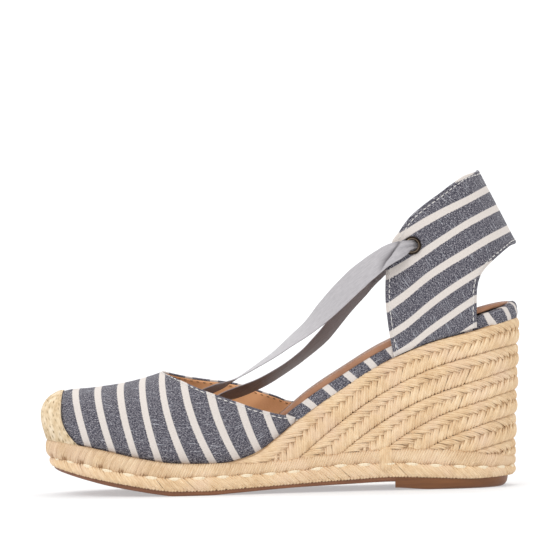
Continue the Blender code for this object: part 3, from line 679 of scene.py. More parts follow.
def studio():
    """A white sweep: floor, a quarter-round and a back wall, under large soft lights."""
    wide, front, back, radius, tall = 4.0, -4.2, 3.6, 1.0, 3.2
    bend = np.linspace(0, np.pi / 2, 17)
    y = np.concatenate([[front], back + radius * np.sin(bend), [back + radius]])
    z = np.concatenate([[0], radius * (1 - np.cos(bend)), [tall]])
    x = np.linspace(-wide, wide, 5)
    grid = np.stack(np.broadcast_arrays(x[None, :], y[:, None], z[:, None]), axis=-1)
    mesh = bpy.data.meshes.new("studio_floor")
    mesh.from_pydata(grid.reshape(-1, 3).tolist(), [], grid_faces(len(y), len(x)).tolist())
    mesh.flip_normals()
    mesh.shade_smooth()
    # The floor also glows evenly: painted light that lifts the shadow under the shoe and lights its
    # underside.
    look = Look("studio_white", {"Roughness": 0.9, "Specular IOR Level": 0.1,
                                 "Emission Color": (0.96, 0.98, 1, 1), "Emission Strength": 0.42})
    tone = look.noise(look.solid(), 3.0)
    white = look.ramp(tone, (0.3, (0.52, 0.52, 0.525)), (0.7, (0.54, 0.54, 0.545)))
    mesh.materials.append(look.done(white))
    linked("studio_floor", mesh)
    world = bpy.data.worlds.new("studio_light")
    world.use_nodes = True
    sky = world.node_tree.nodes["Background"].inputs
    sky["Color"].default_value = (1, 1, 1, 1)
    sky["Strength"].default_value = 0.96
    bpy.context.scene.world = world
    bpy.context.scene.view_settings.view_transform = "Standard"
    area_light("key_light", (-0.8, -1.8, 1.5), (0, 0, 0.06), (1.2, 1.2), 15.5)
    area_light("top_light", (0.1, 0.8, 1.7), (0, 0, 0.03), (1.8, 0.9), 9)
    area_light("back_light", (0, 3.0, 2.6), (0, 4.3, 0.3), (4.0, 0.8), 45)


# ---------------------------------------------------------------- ribbons

def ribbon(side, cloth):
    """A tie through its eyelet and down into the throat: a flat profile carried along its route.

    Near the eyelet the profile is gathered: its width shrinks and it ripples in two soft pleats.
    Below it the profile steps back at a crease, which crosses from one edge to the other, and
    painted shadow darkens the part beside it that steps back.
    """
    sign, route = SIGN[side], ROUTE[side]
    at = np.linspace(0, len(route["t"]) - 1.0, RIBBON_STEPS)
    read = {name: column(route, name, at, key="row") for name in route}
    centre = np.stack([read["t"] + TOE_X, sign * read["y"], read["z"]], axis=1)
    along = unit(np.gradient(centre, axis=0))
    level = unit(np.cross(along, (0.0, 0.0, 1.0)))
    upright = np.cross(level, along)
    roll = np.radians(read["turn"])[:, None]
    wide = upright * np.cos(roll) + level * np.sin(roll)
    face = np.cross(along, wide)
    share = np.linspace(-1, 1, RIBBON_ACROSS)
    gathered = (1 - smooth((read["width"] - 5.5) / 9))[:, None]
    pleats = gathered * 0.45 * np.cos(2.3 * np.pi * share + 0.5)
    ripple = pleats + 0.25 * (1 - gathered) * (share**2 - 0.5)
    folded = (smooth((at - 3.7) / 0.5) * (1 - smooth((at - 6.1) / 0.9)))[:, None]
    beyond = np.clip(share - np.interp(at, *CREASE_LINE)[:, None], 0, 2)
    fold = 1.9 * smooth(beyond / 0.14) * np.exp(-beyond / 0.45)
    # shadow is painted shadow on the part that steps back behind the crease.
    reach = 0.13 + 0.15 * (at[:, None] - 4)
    shadow = folded * smooth(beyond / 0.05) * np.exp(-((beyond / reach) ** 2))
    ripple = ripple - sign * folded * fold
    half = read["width"][:, None] / 2
    middle = centre[:, None] + wide[:, None] * (half * share)[..., None]
    middle = middle + face[:, None] * ripple[..., None]
    thin = face[:, None] * RIBBON_HALF_THICK
    rings = np.concatenate([middle + thin, (middle - thin)[:, ::-1]], axis=1)
    length = lengths(centre)
    uv = pair(length[:, None], np.concatenate([share, share[::-1]]) * RIBBON_WIDTH / 2)
    made = piece(f"ribbon_tie_{side}", [tube(rings, uv)], cloth, "grosgrain", f"ribbon_{side}")
    outside = face[:, 1].mean() * sign > 0
    inner = np.zeros(rings.shape[:2])
    inner[:, RIBBON_ACROSS:] = 1.0 if outside else 0.0
    inner[:, :RIBBON_ACROSS] = 0.0 if outside else 1.0
    painted(made.data, "inner_face", inner)
    painted(made.data, "crease", np.concatenate([shadow, shadow[:, ::-1]], axis=1))


# ---------------------------------------------------------------- the last and the vamp

def ribs(side, t, share, swell=0.0):
    """Points of the forefoot for outline stations t (rows) and shares up each rib (columns).

    A rib climbs from the edge of the sole to the ridge: bowed out up to the widest line, then a
    quarter of a superellipse. Ribs ahead of the pole all close on the pole. swell moves the
    surface outwards.
    """
    t = np.asarray(t, float)[:, None]
    share = np.broadcast_to(share, (len(t), np.shape(share)[-1]))
    spine_t = np.maximum(t, TOE_POLE)
    wide_y = SIGN[side] * half_width(side, t, VAMP_TIP - swell, NO_TIP, VAMP_SIDE + swell)
    spine_y = column(LAST, "ridge_y", spine_t)
    foot_z = platform_top(t) + GAP
    wide_z = foot_z + column(LAST, "widest", t)
    ridge_z = column(LAST, "ridge", spine_t) + swell
    power = column(LAST, "power", t)
    lower = np.clip(share / FOOT_SHARE, 0, 1)
    upper = np.clip((share - FOOT_SHARE) / (1 - FOOT_SHARE), 0, 1) ** RIB_EASE * math.pi / 2
    reach = np.maximum(np.cos(upper), 0) ** power
    climb = np.sin(upper) ** power
    across = np.hypot(t - spine_t, wide_y - spine_y)
    inward = column(LAST, "undercut", t) * (1 - lower) ** 2
    low = share < FOOT_SHARE
    reach = np.where(low, 1 - inward / across, reach)
    z = np.where(low, foot_z + (wide_z - foot_z) * lower, wide_z + (ridge_z - wide_z) * climb)
    x = spine_t + (t - spine_t) * reach + TOE_X
    y = spine_y + (wide_y - spine_y) * reach
    return np.stack([x, y, z], axis=2)


def rib_share(t, height):
    """Share up the rib at t where the last reaches the given height."""
    low = platform_top(t) + GAP
    wide = low + column(LAST, "widest", t)
    ridge = column(LAST, "ridge", t)
    climb = np.clip((height - wide) / (ridge - wide), 0, 1)
    angle = np.arcsin(np.clip(climb ** (1 / column(LAST, "power", t)), 0, 1))
    upper = FOOT_SHARE + (1 - FOOT_SHARE) * (angle / (math.pi / 2)) ** (1 / RIB_EASE)
    return np.where(height < wide, FOOT_SHARE * (height - low) / (wide - low), upper)


def stripe_place(value, places):
    """Which stripe a value falls on: its place among the stripes' middles, whole at each middle."""
    index = np.zeros(np.shape(value))
    for low, high in zip(places[:-1], places[1:]):
        index = index + np.clip((value - low) / (high - low), 0, 1)
    return index


def vamp_pattern(points):
    """Pattern coordinates of the vamp: across its stripes, and up them along the surface."""
    t, z = points[..., 0] - TOE_X, points[..., 2]
    height = np.clip((z - platform_top(t)) / STRIPE_RISE, 0, 1)
    low = (1 - height) ** 1.6
    places = [ridge + (foot - ridge) * low for ridge, foot in zip(*VAMP_STRIPES.values())]
    step = np.diff(points, axis=1, prepend=points[:, :1])
    step = 0.5 * np.linalg.norm(step, axis=2) + 0.5 * np.abs(step[..., 2])
    return pair(stripe_place(t, places) * STRIPE_PITCH,
                np.cumsum(step, axis=1) * np.sign(points[:, :1, 1]))


def vamp_stations(side):
    """Stations of the vamp's ribs: close together at the toe and at the start of the wings."""
    head = VAMP_TIP + (TOE_POLE - VAMP_TIP) * (1 - np.cos(np.linspace(0, math.pi / 2, 22))) ** 1.2
    body = np.linspace(TOE_POLE, THROAT, 30)[1:]
    wings = THROAT + (WING_END[side] - THROAT) * np.linspace(0, 1, 60)[1:] ** 1.35
    return np.concatenate([head, body, wings])


def vamp_top(side, t):
    """Share up the rib where the vamp ends: the ridge, or the throat line behind the throat."""
    return np.where(t > THROAT, rib_share(t, column(TOPLINE, side, t)), 1.0)


def vamp_sheet(side, swell, trim=0.0):
    """Half of the vamp's surface, from the sole up to the throat or the ridge.

    The outer face puckers in sines along its lasted foot and sags a little below the throat.
    """
    t = vamp_stations(side)
    top = vamp_top(side, t) - (0.01 + trim) * smooth((t - THROAT) / 6)
    share = np.linspace(0, 1, 44)[None, :] * top[:, None]
    points = ribs(side, t, share, swell)
    uv = vamp_pattern(points)
    if swell == 0:
        low = 1 - smooth(share / 0.22)
        pucker = low * 0.22 * np.sin(t * 1.9 + 1.3 * np.sin(t * 0.37))[:, None]
        points[..., 1] += SIGN[side] * pucker
        points[..., 2] -= 0.35 * np.exp(-(((t[:, None] - 48) / 9) ** 2 + ((share - 0.93) / 0.12) ** 2))
    return points, uv


def vamp(cloth, lining):
    """The upper's cloth and, a little inside it and trimmed at the throat, its leather lining."""
    outer, inner = [], []
    for side in SIGN:
        face, uv = vamp_sheet(side, 0.0)
        under, under_uv = vamp_sheet(side, -0.75, trim=0.003)
        outer.append(open_sheet(face, uv, face - under))
        inner.append(open_sheet(under, under_uv, face - under))
    wall(piece("vamp_cloth", outer, cloth, "stripe_cloth", "vamp", merge=True), VAMP_CLOTH)
    wall(piece("vamp_lining", inner, lining, "insole_leather", merge=True), VAMP_LINING)


def edge_tube(centre, normal, radius, across):
    """A rolled cloth edge: a round bead along a path, with the cloth's own stripes."""
    around = 10
    points, faces = sweep(centre[None], normal[None], radius, radius, around)[:2]
    return points, faces, pair(across[:, None], np.arange(around) * 0.6).reshape(-1, 2)


def vamp_edge(cloth, stitch, dark_stitch):
    """The turned edge of the throat: a bead over cloth and lining, and the stitches below it."""
    beads, stitches, linings = [], [], []
    for side in SIGN:
        t = THROAT + (WING_END[side] - THROAT) * np.linspace(0, 1, 140) ** 1.2
        top = vamp_top(side, t)
        share = np.stack([top - 0.03, top - 0.01], axis=1)
        outer, inner = ribs(side, t, share), ribs(side, t, share, -1.3)
        through = outer[:, 1] - inner[:, 1]
        normal = unit(through)
        centre = (outer[:, 1] + inner[:, 1]) / 2 + through * 0.08
        beads.append(edge_tube(centre, normal, 0.6, vamp_pattern(outer)[:, 1, 0]))
        inch = 0.02 / np.maximum(np.linalg.norm(outer[:, 1] - outer[:, 0], axis=1), 0.1)
        line = ribs(side, t, (top - 0.01 - 1.05 * inch)[:, None])[:, 0]
        stitches.append(stitch_row(line, normal, 2.1, 1.1, 0.28, 0.14))
        line = ribs(side, t, (top - 0.01 - 1.0 * inch)[:, None], -1.35)[:, 0]
        linings.append(stitch_row(line, -normal, 1.5, 1.9, 0.26, 0.12))
    piece("vamp_turned_edge", beads, cloth, "stripe_cloth")
    piece("vamp_edge_stitches", stitches, stitch, "jute_weave")
    piece("vamp_lining_stitches", linings, dark_stitch, "insole_leather")


def stitch_row(line, normal, length, gap, radius, rise):
    """Stitches lying along a line on a surface: short closed strands that dip at both ends."""
    arc = lengths(line)
    first = np.arange(1.0, arc[-1] - length - 0.5, length + gap)
    share = np.linspace(0, 1, 7)
    at = first[:, None] + share * length
    up = unit(read_line(normal, arc, at))
    lift = rise + radius * (np.sin(np.pi * share) ** 0.5 - 0.6)
    size = radius * (0.35 + 0.65 * np.sin(np.pi * share) ** 0.7)
    return sweep(read_line(line, arc, at) + up * lift[:, None], up, size, size * 0.8)


def knots(a, b, sign):
    """Pits and ridges of the cap's weave at a place across (a) and up (b) its surface.

    Pits are soft slanted ovals on a staggered grid of knots, each nudged and weakened by sines of
    its row and column. Ridges are upright waves that fade between the rows.
    """
    row = np.floor(b / KNOT_HIGH)
    shift = a + KNOT_WIDE / 2 * np.mod(row, 2) + 0.7 * np.sin(row * 2.4)
    da = np.mod(shift + KNOT_WIDE / 2, KNOT_WIDE) - KNOT_WIDE / 2
    knot = np.round((shift - da) / KNOT_WIDE)
    db = b - (row + 0.5) * KNOT_HIGH + 0.6 * np.sin(knot * 2.3 + row)
    keep = np.clip(0.75 + np.sin(row * 5.1 + knot * 3.7), 0, 1)
    pit = np.exp(-((da + sign * 0.45 * db) / 0.5) ** 2 - (db / 0.62) ** 2) * keep
    wave = 0.2 * np.sin(a * 2 * np.pi / 1.6 + 0.5 * np.sin(b * 1.3))
    return pit, wave * np.sin(b * 2 * np.pi / KNOT_HIGH + 0.7) ** 2


def cap_end(side, t, swell):
    """Share up each rib where it meets the cap's edge, which sweeps back towards the sole."""
    dense = np.linspace(0, 1, 400)
    probe = ribs(side, t, dense, swell)
    height = np.clip((probe[..., 2] - CAP_SWEEP_LOW) / (CAP_SWEEP_HIGH - CAP_SWEEP_LOW), 0, 1)
    over = probe[..., 0] - TOE_X - CAP_EDGE - CAP_SWEEP * (1 - height) ** 2.4 > 0
    first = np.where(over.any(axis=1), np.argmax(over, axis=1), len(dense) - 1)
    return dense[np.maximum(first, 1)][:, None]


def toe_cap(straw):
    """The knotted jute cap: the last's surface stood off the cloth, up to a curved edge.

    Each rib runs from the sole to where it meets the edge. The edge thins to a lip, and the foot
    of the cap spreads a little.
    """
    swell = GAP + CAP_WALL
    ease = (1 - np.cos(np.linspace(0, math.pi / 2, 64))) ** 1.1
    halves = []
    for side, sign in SIGN.items():
        t = VAMP_TIP - swell + (CAP_EDGE + CAP_SWEEP - VAMP_TIP + swell) * ease
        end = cap_end(side, t, swell)
        share = end * np.linspace(0, 1, 58)
        outer, inner = ribs(side, t, share, swell), ribs(side, t, share, GAP)
        normal = unit(outer - inner)
        middle = np.diff(outer[:, 20], axis=0, prepend=outer[:1, 20])
        a = sign * (np.cumsum(np.linalg.norm(middle, axis=1))[:, None] - 1.2)
        b = np.cumsum(np.linalg.norm(np.diff(outer, axis=1, prepend=outer[:, :1]), axis=2), axis=1)
        pit, ridge = knots(a, b, sign)
        fade = smooth((end - share) / 0.03)
        thick = np.linalg.norm(outer - inner, axis=-1)
        outer = outer + normal * (ridge * fade - 0.8 * pit * fade)[..., None]
        high = smooth((outer[..., 2] - CAP_SWEEP_LOW) / (CAP_SWEEP_HIGH - CAP_SWEEP_LOW))
        lip = 0.35 * (1 - fade) + 0.45 * high * smooth((share / end - 0.72) / 0.28)
        outer = outer - normal * (lip * thick)[..., None]
        foot = 1 - smooth(share / 0.07)
        outer = outer + normal * (0.35 * foot)[..., None]
        outer[..., 2] -= 0.45 * foot
        # The pit mark is painted shade in each pit, and it grows darker towards the foot of the cap.
        uv, mark = pair(a, b), pit + 0.2 * (1 - smooth(share / 0.2))
        half = ((outer, inner[:, ::-1]), (uv, uv[:, ::-1]), (mark, mark * 0))
        order = slice(None, None, -1) if sign < 0 else slice(1, None)
        halves.append([np.concatenate(both, axis=1)[order] for both in half])
    rings, uv, marks = (np.concatenate(both) for both in zip(*halves))
    made = piece("toe_cap_weave", [tube(rings, uv)], straw, "jute_weave", "toe_cap")
    painted(made.data, "pit", marks)


# ---------------------------------------------------------------- the heel quarter

def heel_turn(x, z):
    """How far round the heel's plan a point lies: 0 at the centre back, a quarter turn at the side."""
    back = column(HEEL_PLAN, "back", z, key="z")
    ahead = (back - (x - TOE_X)) / HEEL_ROUND
    return np.where(ahead < 1, np.arccos(np.clip(1 - ahead, -1, 1)), math.pi / 2 + ahead - 1)


def heel_wall(side, turn, z):
    """A point of the heel's side wall from its turn round the plan and its height."""
    back = column(HEEL_PLAN, "back", z, key="z")
    lean = column(HEEL_PLAN, "lean", z, key="z")
    ahead = np.where(turn < math.pi / 2, 1 - np.cos(turn), turn - math.pi / 2 + 1)
    t = back - ahead * HEEL_ROUND
    return np.stack([t + TOE_X, SIGN[side] * half_width(side, t, -NO_TIP, back, lean), z], axis=-1)


def quarter_sheet(trim):
    """The quarter's outer face, from the lateral foot round the back to the medial foot.

    A row runs evenly, in turn round the heel and in height, from the front edge to the rear one.
    """
    fine = (len(QUARTER["front_x"]) - 1.0) * (1 - (1 - np.linspace(0, 1, 90)) ** 1.3)

    def edge(name):
        x, z = np.array(QUARTER[name + "_x"]), np.array(QUARTER[name + "_z"])
        return [column({}, values, fine)[:, None] for values in (heel_turn(x, z), z)]

    (front_turn, front_z), (rear_turn, rear_z) = edge("front"), edge("rear")
    across = np.linspace(trim, 1 - trim, 40)[None, :]
    turn = front_turn + (rear_turn - front_turn) * across
    z = front_z + (rear_z - front_z) * across
    foot = heel_wall("lateral", turn[0], z[0])
    sunk = platform_top(foot[:, 0] - TOE_X) + GAP - z[0]
    z = z + sunk[None, :] * (1 - smooth(fine / 1.2))[:, None]
    return np.concatenate([heel_wall("lateral", turn, z), heel_wall("medial", turn, z)[-2::-1]])


def sheet_normals(points):
    """Outward normals of the quarter's face, square to its rows and its columns."""
    normal = unit(np.cross(np.gradient(points, axis=1), np.gradient(points, axis=0)))
    return normal * np.sign(np.einsum("ij,ij->", normal[5], points[5] * (0, 1, 0)))


def quarter_pattern(points):
    """Pattern coordinates of the quarter: across its stripes, and along them round the back."""
    t, z = points[..., 0] - TOE_X, points[..., 2]
    places = [column(QUARTER_STRIPES, row, t) for row in QUARTER_STRIPES["z"]]
    turn = heel_turn(points[..., 0], z)
    sloped = smooth(turn / 2.4)
    along = HEEL_ROUND * turn * (1 - 0.15 * sloped) - 0.53 * sloped * (z - 125)
    return pair(stripe_place(z, places) * STRIPE_PITCH, along * np.sign(points[..., 1]))


def eyelet_place(side):
    """An eyelet's middle in the quarter's wall, and its outward axis."""
    here = heel_turn(EYELET_X, EYELET_Z)
    centre = heel_wall(side, here, np.array(EYELET_Z))
    along = heel_wall(side, here + 0.05, np.array(EYELET_Z)) - centre
    up = heel_wall(side, heel_turn(EYELET_X, EYELET_Z + 1), np.array(EYELET_Z + 1)) - centre
    axis = unit(np.cross(along, up))
    axis = axis * np.sign(axis[1] * centre[1])
    return centre - axis * QUARTER_WALL / 2, axis


def drill(items, radius):
    """Cuts both eyelet holes right through the given sheets."""
    for side in SIGN:
        centre, axis = eyelet_place(side)
        bpy.ops.mesh.primitive_cylinder_add(vertices=40, radius=radius * MM, depth=14 * MM)
        cutter = bpy.context.object
        turn = Vector(axis).to_track_quat("Z", "Y").to_matrix().to_4x4()
        cutter.matrix_world = Matrix.Translation(Vector(centre) * MM) @ turn
        bpy.context.view_layer.update()
        for item in items:
            cut = item.modifiers.new("hole", "BOOLEAN")
            cut.operation = "DIFFERENCE"
            cut.object = cutter
            cut.solver = "EXACT"
            graph = bpy.context.evaluated_depsgraph_get()
            mesh = bpy.data.meshes.new_from_object(item.evaluated_get(graph))
            item.modifiers.clear()
            item.data = mesh
        bpy.data.objects.remove(cutter)


def quarter(cloth, lining, stitch):
    """The strap of the heel: cloth, lining, turned edges and a row of stitches along each edge."""
    points = quarter_sheet(0.02)
    normal, pattern = sheet_normals(points), quarter_pattern(points)
    edge = np.linspace(0, 1, points.shape[1])
    edge = np.minimum(edge, 1 - edge)[None, :]
    puff = 0.1 * np.exp(-((edge - 0.005) / 0.012) ** 2) - 0.12 * np.exp(-((edge - 0.026) / 0.012) ** 2)
    outer = points + normal * puff[..., None]
    face = piece("quarter_cloth", [open_sheet(outer, pattern, normal)], cloth,
                 "stripe_cloth", "heel_quarter")
    wall(face, QUARTER_CLOTH)
    inside = quarter_sheet(0.03)
    under = sheet_normals(inside)
    back = piece("quarter_lining", [open_sheet(inside - under * 0.98, quarter_pattern(inside), under)],
                 lining, "insole_leather")
    wall(back, QUARTER_LINING)
    drill([face, back], EYELET_CUT)
    beads, rows = [], []
    for place, inset in ((0, 1), (-1, -2)):
        centre = points[:, place] - normal[:, place] * QUARTER_WALL / 2
        beads.append(edge_tube(centre, normal[:, place], QUARTER_WALL / 2, pattern[:, place, 0]))
        rows.append(stitch_row(outer[:, inset], normal[:, inset], 1.9, 0.9, 0.26, 0.14))
    piece("quarter_turned_edges", beads, cloth, "stripe_cloth")
    piece("quarter_stitches", rows, stitch, "jute_weave")


def eyelet(side, metal):
    """A rolled brass ring: a rounded lip on each face and a barrel, turned about its own axis."""
    centre, axis = eyelet_place(side)
    half = QUARTER_WALL / 2 + 0.3
    way = np.linspace(0, 1, 19)
    out = EYELET_FLANGE + (EYELET_HOLE - EYELET_FLANGE) * way
    lip = np.interp(way, *EYELET_LIP)
    upper = np.stack([out, half + 0.2 + lip], axis=1)
    lower = np.stack([out[::-1], -half - 0.2 - lip[::-1]], axis=1)
    barrel = [[EYELET_FLANGE - 1.1, -half], [EYELET_FLANGE - 1.1, half]]
    profile = np.concatenate([upper, lower, barrel])
    turn = np.linspace(0, 2 * np.pi, 64, endpoint=False)
    first = unit(np.cross(axis, (0, 0, 1.0)))
    second = np.cross(axis, first)
    radial = np.cos(turn)[:, None] * first + np.sin(turn)[:, None] * second
    rings = centre + radial[:, None] * profile[None, :, :1] + axis * profile[None, :, 1:]
    # A painted highlight: a narrow bright ring on each face of the lip, carried in the shade mark.
    painted_highlight = np.exp(-(((profile[:, 0] - EYELET_HOLE - 0.6) / 0.14) ** 2)) * (np.abs(profile[:, 1]) > half)
    skin = (*tube(rings, np.zeros(rings.shape[:2] + (2,)), True), np.tile(painted_highlight, len(rings)))
    piece(f"eyelet_ring_{side}", [skin], metal, "antique_brass", f"eyelet_{side}")


# ---------------------------------------------------------------- the foot bed

def bed_inset(t, sign):
    """The foot bed is narrow inside the vamp and widens to the platform's edge behind the wings."""
    wing = np.where(np.asarray(sign) < 0, WING_END["lateral"], WING_END["medial"])
    inside = VAMP_SIDE - VAMP_WALL - BED_CLEARANCE - column(LAST, "undercut", t)
    outside = column(TUCK, "inset", t)
    return inside + (outside - inside) * smooth((t - wing + 3) / 7)


def rand(cloth):
    """The cloth-covered rand: a rounded strip round the foot bed, from inside the vamp to the heel.

    At the back it curls up over the insole's end. Its stripes run square to the strip.
    """
    path = outline(LENGTH - BACK_LEAN * 90, start=86.0, spacing=0.9)
    t, sign = path["t"], np.sign(path["y"])
    low = platform_top(t) - 0.4
    curl = smooth((t - 236) / 8)
    high = column(BED, "rand", t) + curl * (column(BED, "insole", t) - column(BED, "rand", t) + 0.3)
    back = smooth((t - 234) / 7)[:, None]
    turn = np.linspace(0, 1, 9)[None, :-1]
    bow = np.linspace(0, np.pi / 2, 7)[None, :]
    rolled, flat = 0.2 + 0.28 * back, 0 * back
    profile_out = np.concatenate([0.35 * np.sin(np.pi * turn) + flat,
                                  -(0.9 + 1.8 * back) * (1 - np.cos(bow)),
                                  flat - 3.6, flat - 7.0, flat - 7.0, flat - 3.0], axis=1)
    profile_up = np.concatenate([turn * (1 - rolled), 1 - rolled + rolled * np.sin(bow),
                                 flat + 0.98, flat + 0.95, flat, flat], axis=1)
    z = low[:, None] + (high - low)[:, None] * profile_up
    out = bed_inset(t, sign)[:, None] + profile_out
    points = on_outline(path, path["arc"][:, None], out, z)[0]
    middle = (low + high) / 2
    run = summed(np.hypot(np.diff(path["arc"]), np.diff(middle)))
    slope = np.gradient(middle, path["arc"])
    skew = 1.45 * slope / np.hypot(slope, 1) + 0.4 * smooth((t - 222) / 10) + 0.5 * smooth((t - 238) / 4)
    lateral = slice(len(t) // 2)
    u = run[:, None] + (z - middle[:, None]) * skew[:, None]
    u = u - np.interp(RAND_STRIPE, t[lateral], run[lateral])
    step = np.hypot(np.diff(profile_out, axis=1, prepend=0), np.diff(profile_up, axis=1, prepend=0) * 6)
    piece("striped_rand", [tube(points, pair(u, np.cumsum(step, axis=1)))], cloth,
          "stripe_cloth", "insole_rand")


def slab(low, high, tip, back, edge, inset=None, round_front=True, round_back=True):
    """A layer of the shoe: its edge carried up through (share of height, growth) steps, and faces.

    Stations run from tip to back; each face is filled straight across between the two sides.
    """
    u = np.linspace(0, 1, int((back - tip) / SLAB_SPACING))
    if round_front and round_back:
        ease = (1 - np.cos(np.pi * u)) / 2
    elif round_front:
        ease = 1 - np.cos(np.pi / 2 * u)
    else:
        ease = np.sin(np.pi / 2 * u)
    columns = []
    for share, grow in edge:
        front, end = tip - (grow if round_front else 0), back + (grow if round_back else 0)
        ends = (front if round_front else -NO_TIP, end if round_back else NO_TIP)
        t = front + (end - front) * ease
        z = low(t) + share * (high(t) - low(t))
        widths = [sign * half_width(side, t, *ends, grow + (inset(t, sign) if inset else 0))
                  for side, sign in SIGN.items()]
        columns.append([np.stack([t + TOE_X, y, z], axis=1) for y in widths])
    ways = np.linspace(0, 1, SLAB_ACROSS)[1:-1]
    bottom = [columns[0][1] + (columns[0][0] - columns[0][1]) * way for way in ways]
    top = [columns[-1][0] + (columns[-1][1] - columns[-1][0]) * way for way in ways]
    ring = [both[0] for both in columns] + top + [both[1] for both in columns[::-1]] + bottom
    rings = np.stack(ring, axis=1)
    if rings.shape[1] % 2:
        rings = np.concatenate([rings, rings[:, -1:] * 0.5 + rings[:, :1] * 0.5], axis=1)
    return tube(rings, rings[..., :2])


def insole(hide):
    """The leather sock on the rand, its top edge rounded off."""
    edge = ((0, -0.9), (0.25, -0.62), (0.6, -0.6), (0.82, -0.8), (0.95, -1.25), (1, -2.1))
    skin = slab(lambda t: column(BED, "rand", t) + 0.1, lambda t: column(BED, "insole", t),
                BED_TIP, INSOLE_BACK, edge, bed_inset)
    piece("insole_leather", [skin], hide, "insole_leather", "insole")


def tread(sole_rubber, lift_rubber):
    """The rubber under the shoe: the thin outsole, and the heel lift behind it."""
    edge = ((0, -3.0), (0.06, -2.2), (0.25, -1.6), (0.8, -1.4), (1, -1.5))
    skin = slab(partial(layer, "tread_low"), partial(layer, "tread_top"), TREAD_TIP, LIFT_FRONT + 0.2,
                edge, round_back=False)
    piece("rubber_outsole", [skin], sole_rubber, "rubber_tread", "outsole")
    edge = ((0, -4.8), (0.05, -3.9), (0.16, -3.0), (0.4, -2.0), (0.8, -1.5), (1, -1.4))
    skin = slab(partial(layer, "lift_low"), partial(layer, "tread_top"), LIFT_FRONT, LIFT_BACK,
                edge, round_front=False)
    piece("rubber_heel_lift", [skin], lift_rubber, "rubber_tread", "heel_lift")


# ---------------------------------------------------------------- plaited jute

STITCH, STITCH_GAP, STITCH_RADIUS = 7.0, 5.1, 0.95
PLAIT_PITCH, YARNS, CORE_DEPTH = 4.9, 3, 7.0
WRAP_PITCH, WRAP_LEAN, WRAP_RADIUS = 1.3, 63, 0.78
SPLICE_YARNS, SPLICE_RADIUS = 6, 0.82


def core(path, low, high, sink, crown, shade):
    """The solid body under a braid's strands: a rounded strip carried along its outline."""
    v = np.linspace(0, 1, 9)
    profile_out = np.concatenate([-sink - crown * np.abs(2 * v - 1) ** 3, [-CORE_DEPTH] * 3])
    profile_up = np.concatenate([v, [1, 0.5, 0]])
    z = low[:, None] + (high - low)[:, None] * profile_up
    arc = path["arc"][:, None]
    points, uv = on_outline(path, arc, profile_out, z)[0], pair(arc, np.full(z.shape, -0.6))
    if path["closed"]:
        points, uv = points[:-1], uv[:-1]
    # The core is dark all over: painted shade for what shows of it between the strands.
    return *tube(points, uv, round_rows=path["closed"]), np.full(uv.size // 2, shade)


class Strip:
    """A braid's own flat frame: its middle line along the outline, and its width square to it."""

    def __init__(self, path, low, high, widest):
        low = np.maximum(low, high - widest)
        self.path = path
        self.middle = (low + high) / 2
        self.tilt = np.arctan(np.gradient(self.middle, path["arc"]))
        self.wide = (high - low) * np.cos(self.tilt)
        self.run = summed(np.hypot(np.diff(path["arc"]), np.diff(self.middle)))

    def place(self, run, share, out):
        """A point from its run along the middle line, its share of the width and its stand-off."""
        arc, middle, tilt, wide = (np.interp(run, self.run, values) for values in
                                   (self.path["arc"], self.middle, self.tilt, self.wide))
        off = (share - 0.5) * wide
        return on_outline(self.path, arc - off * np.sin(tilt), out, middle + off * np.cos(tilt))


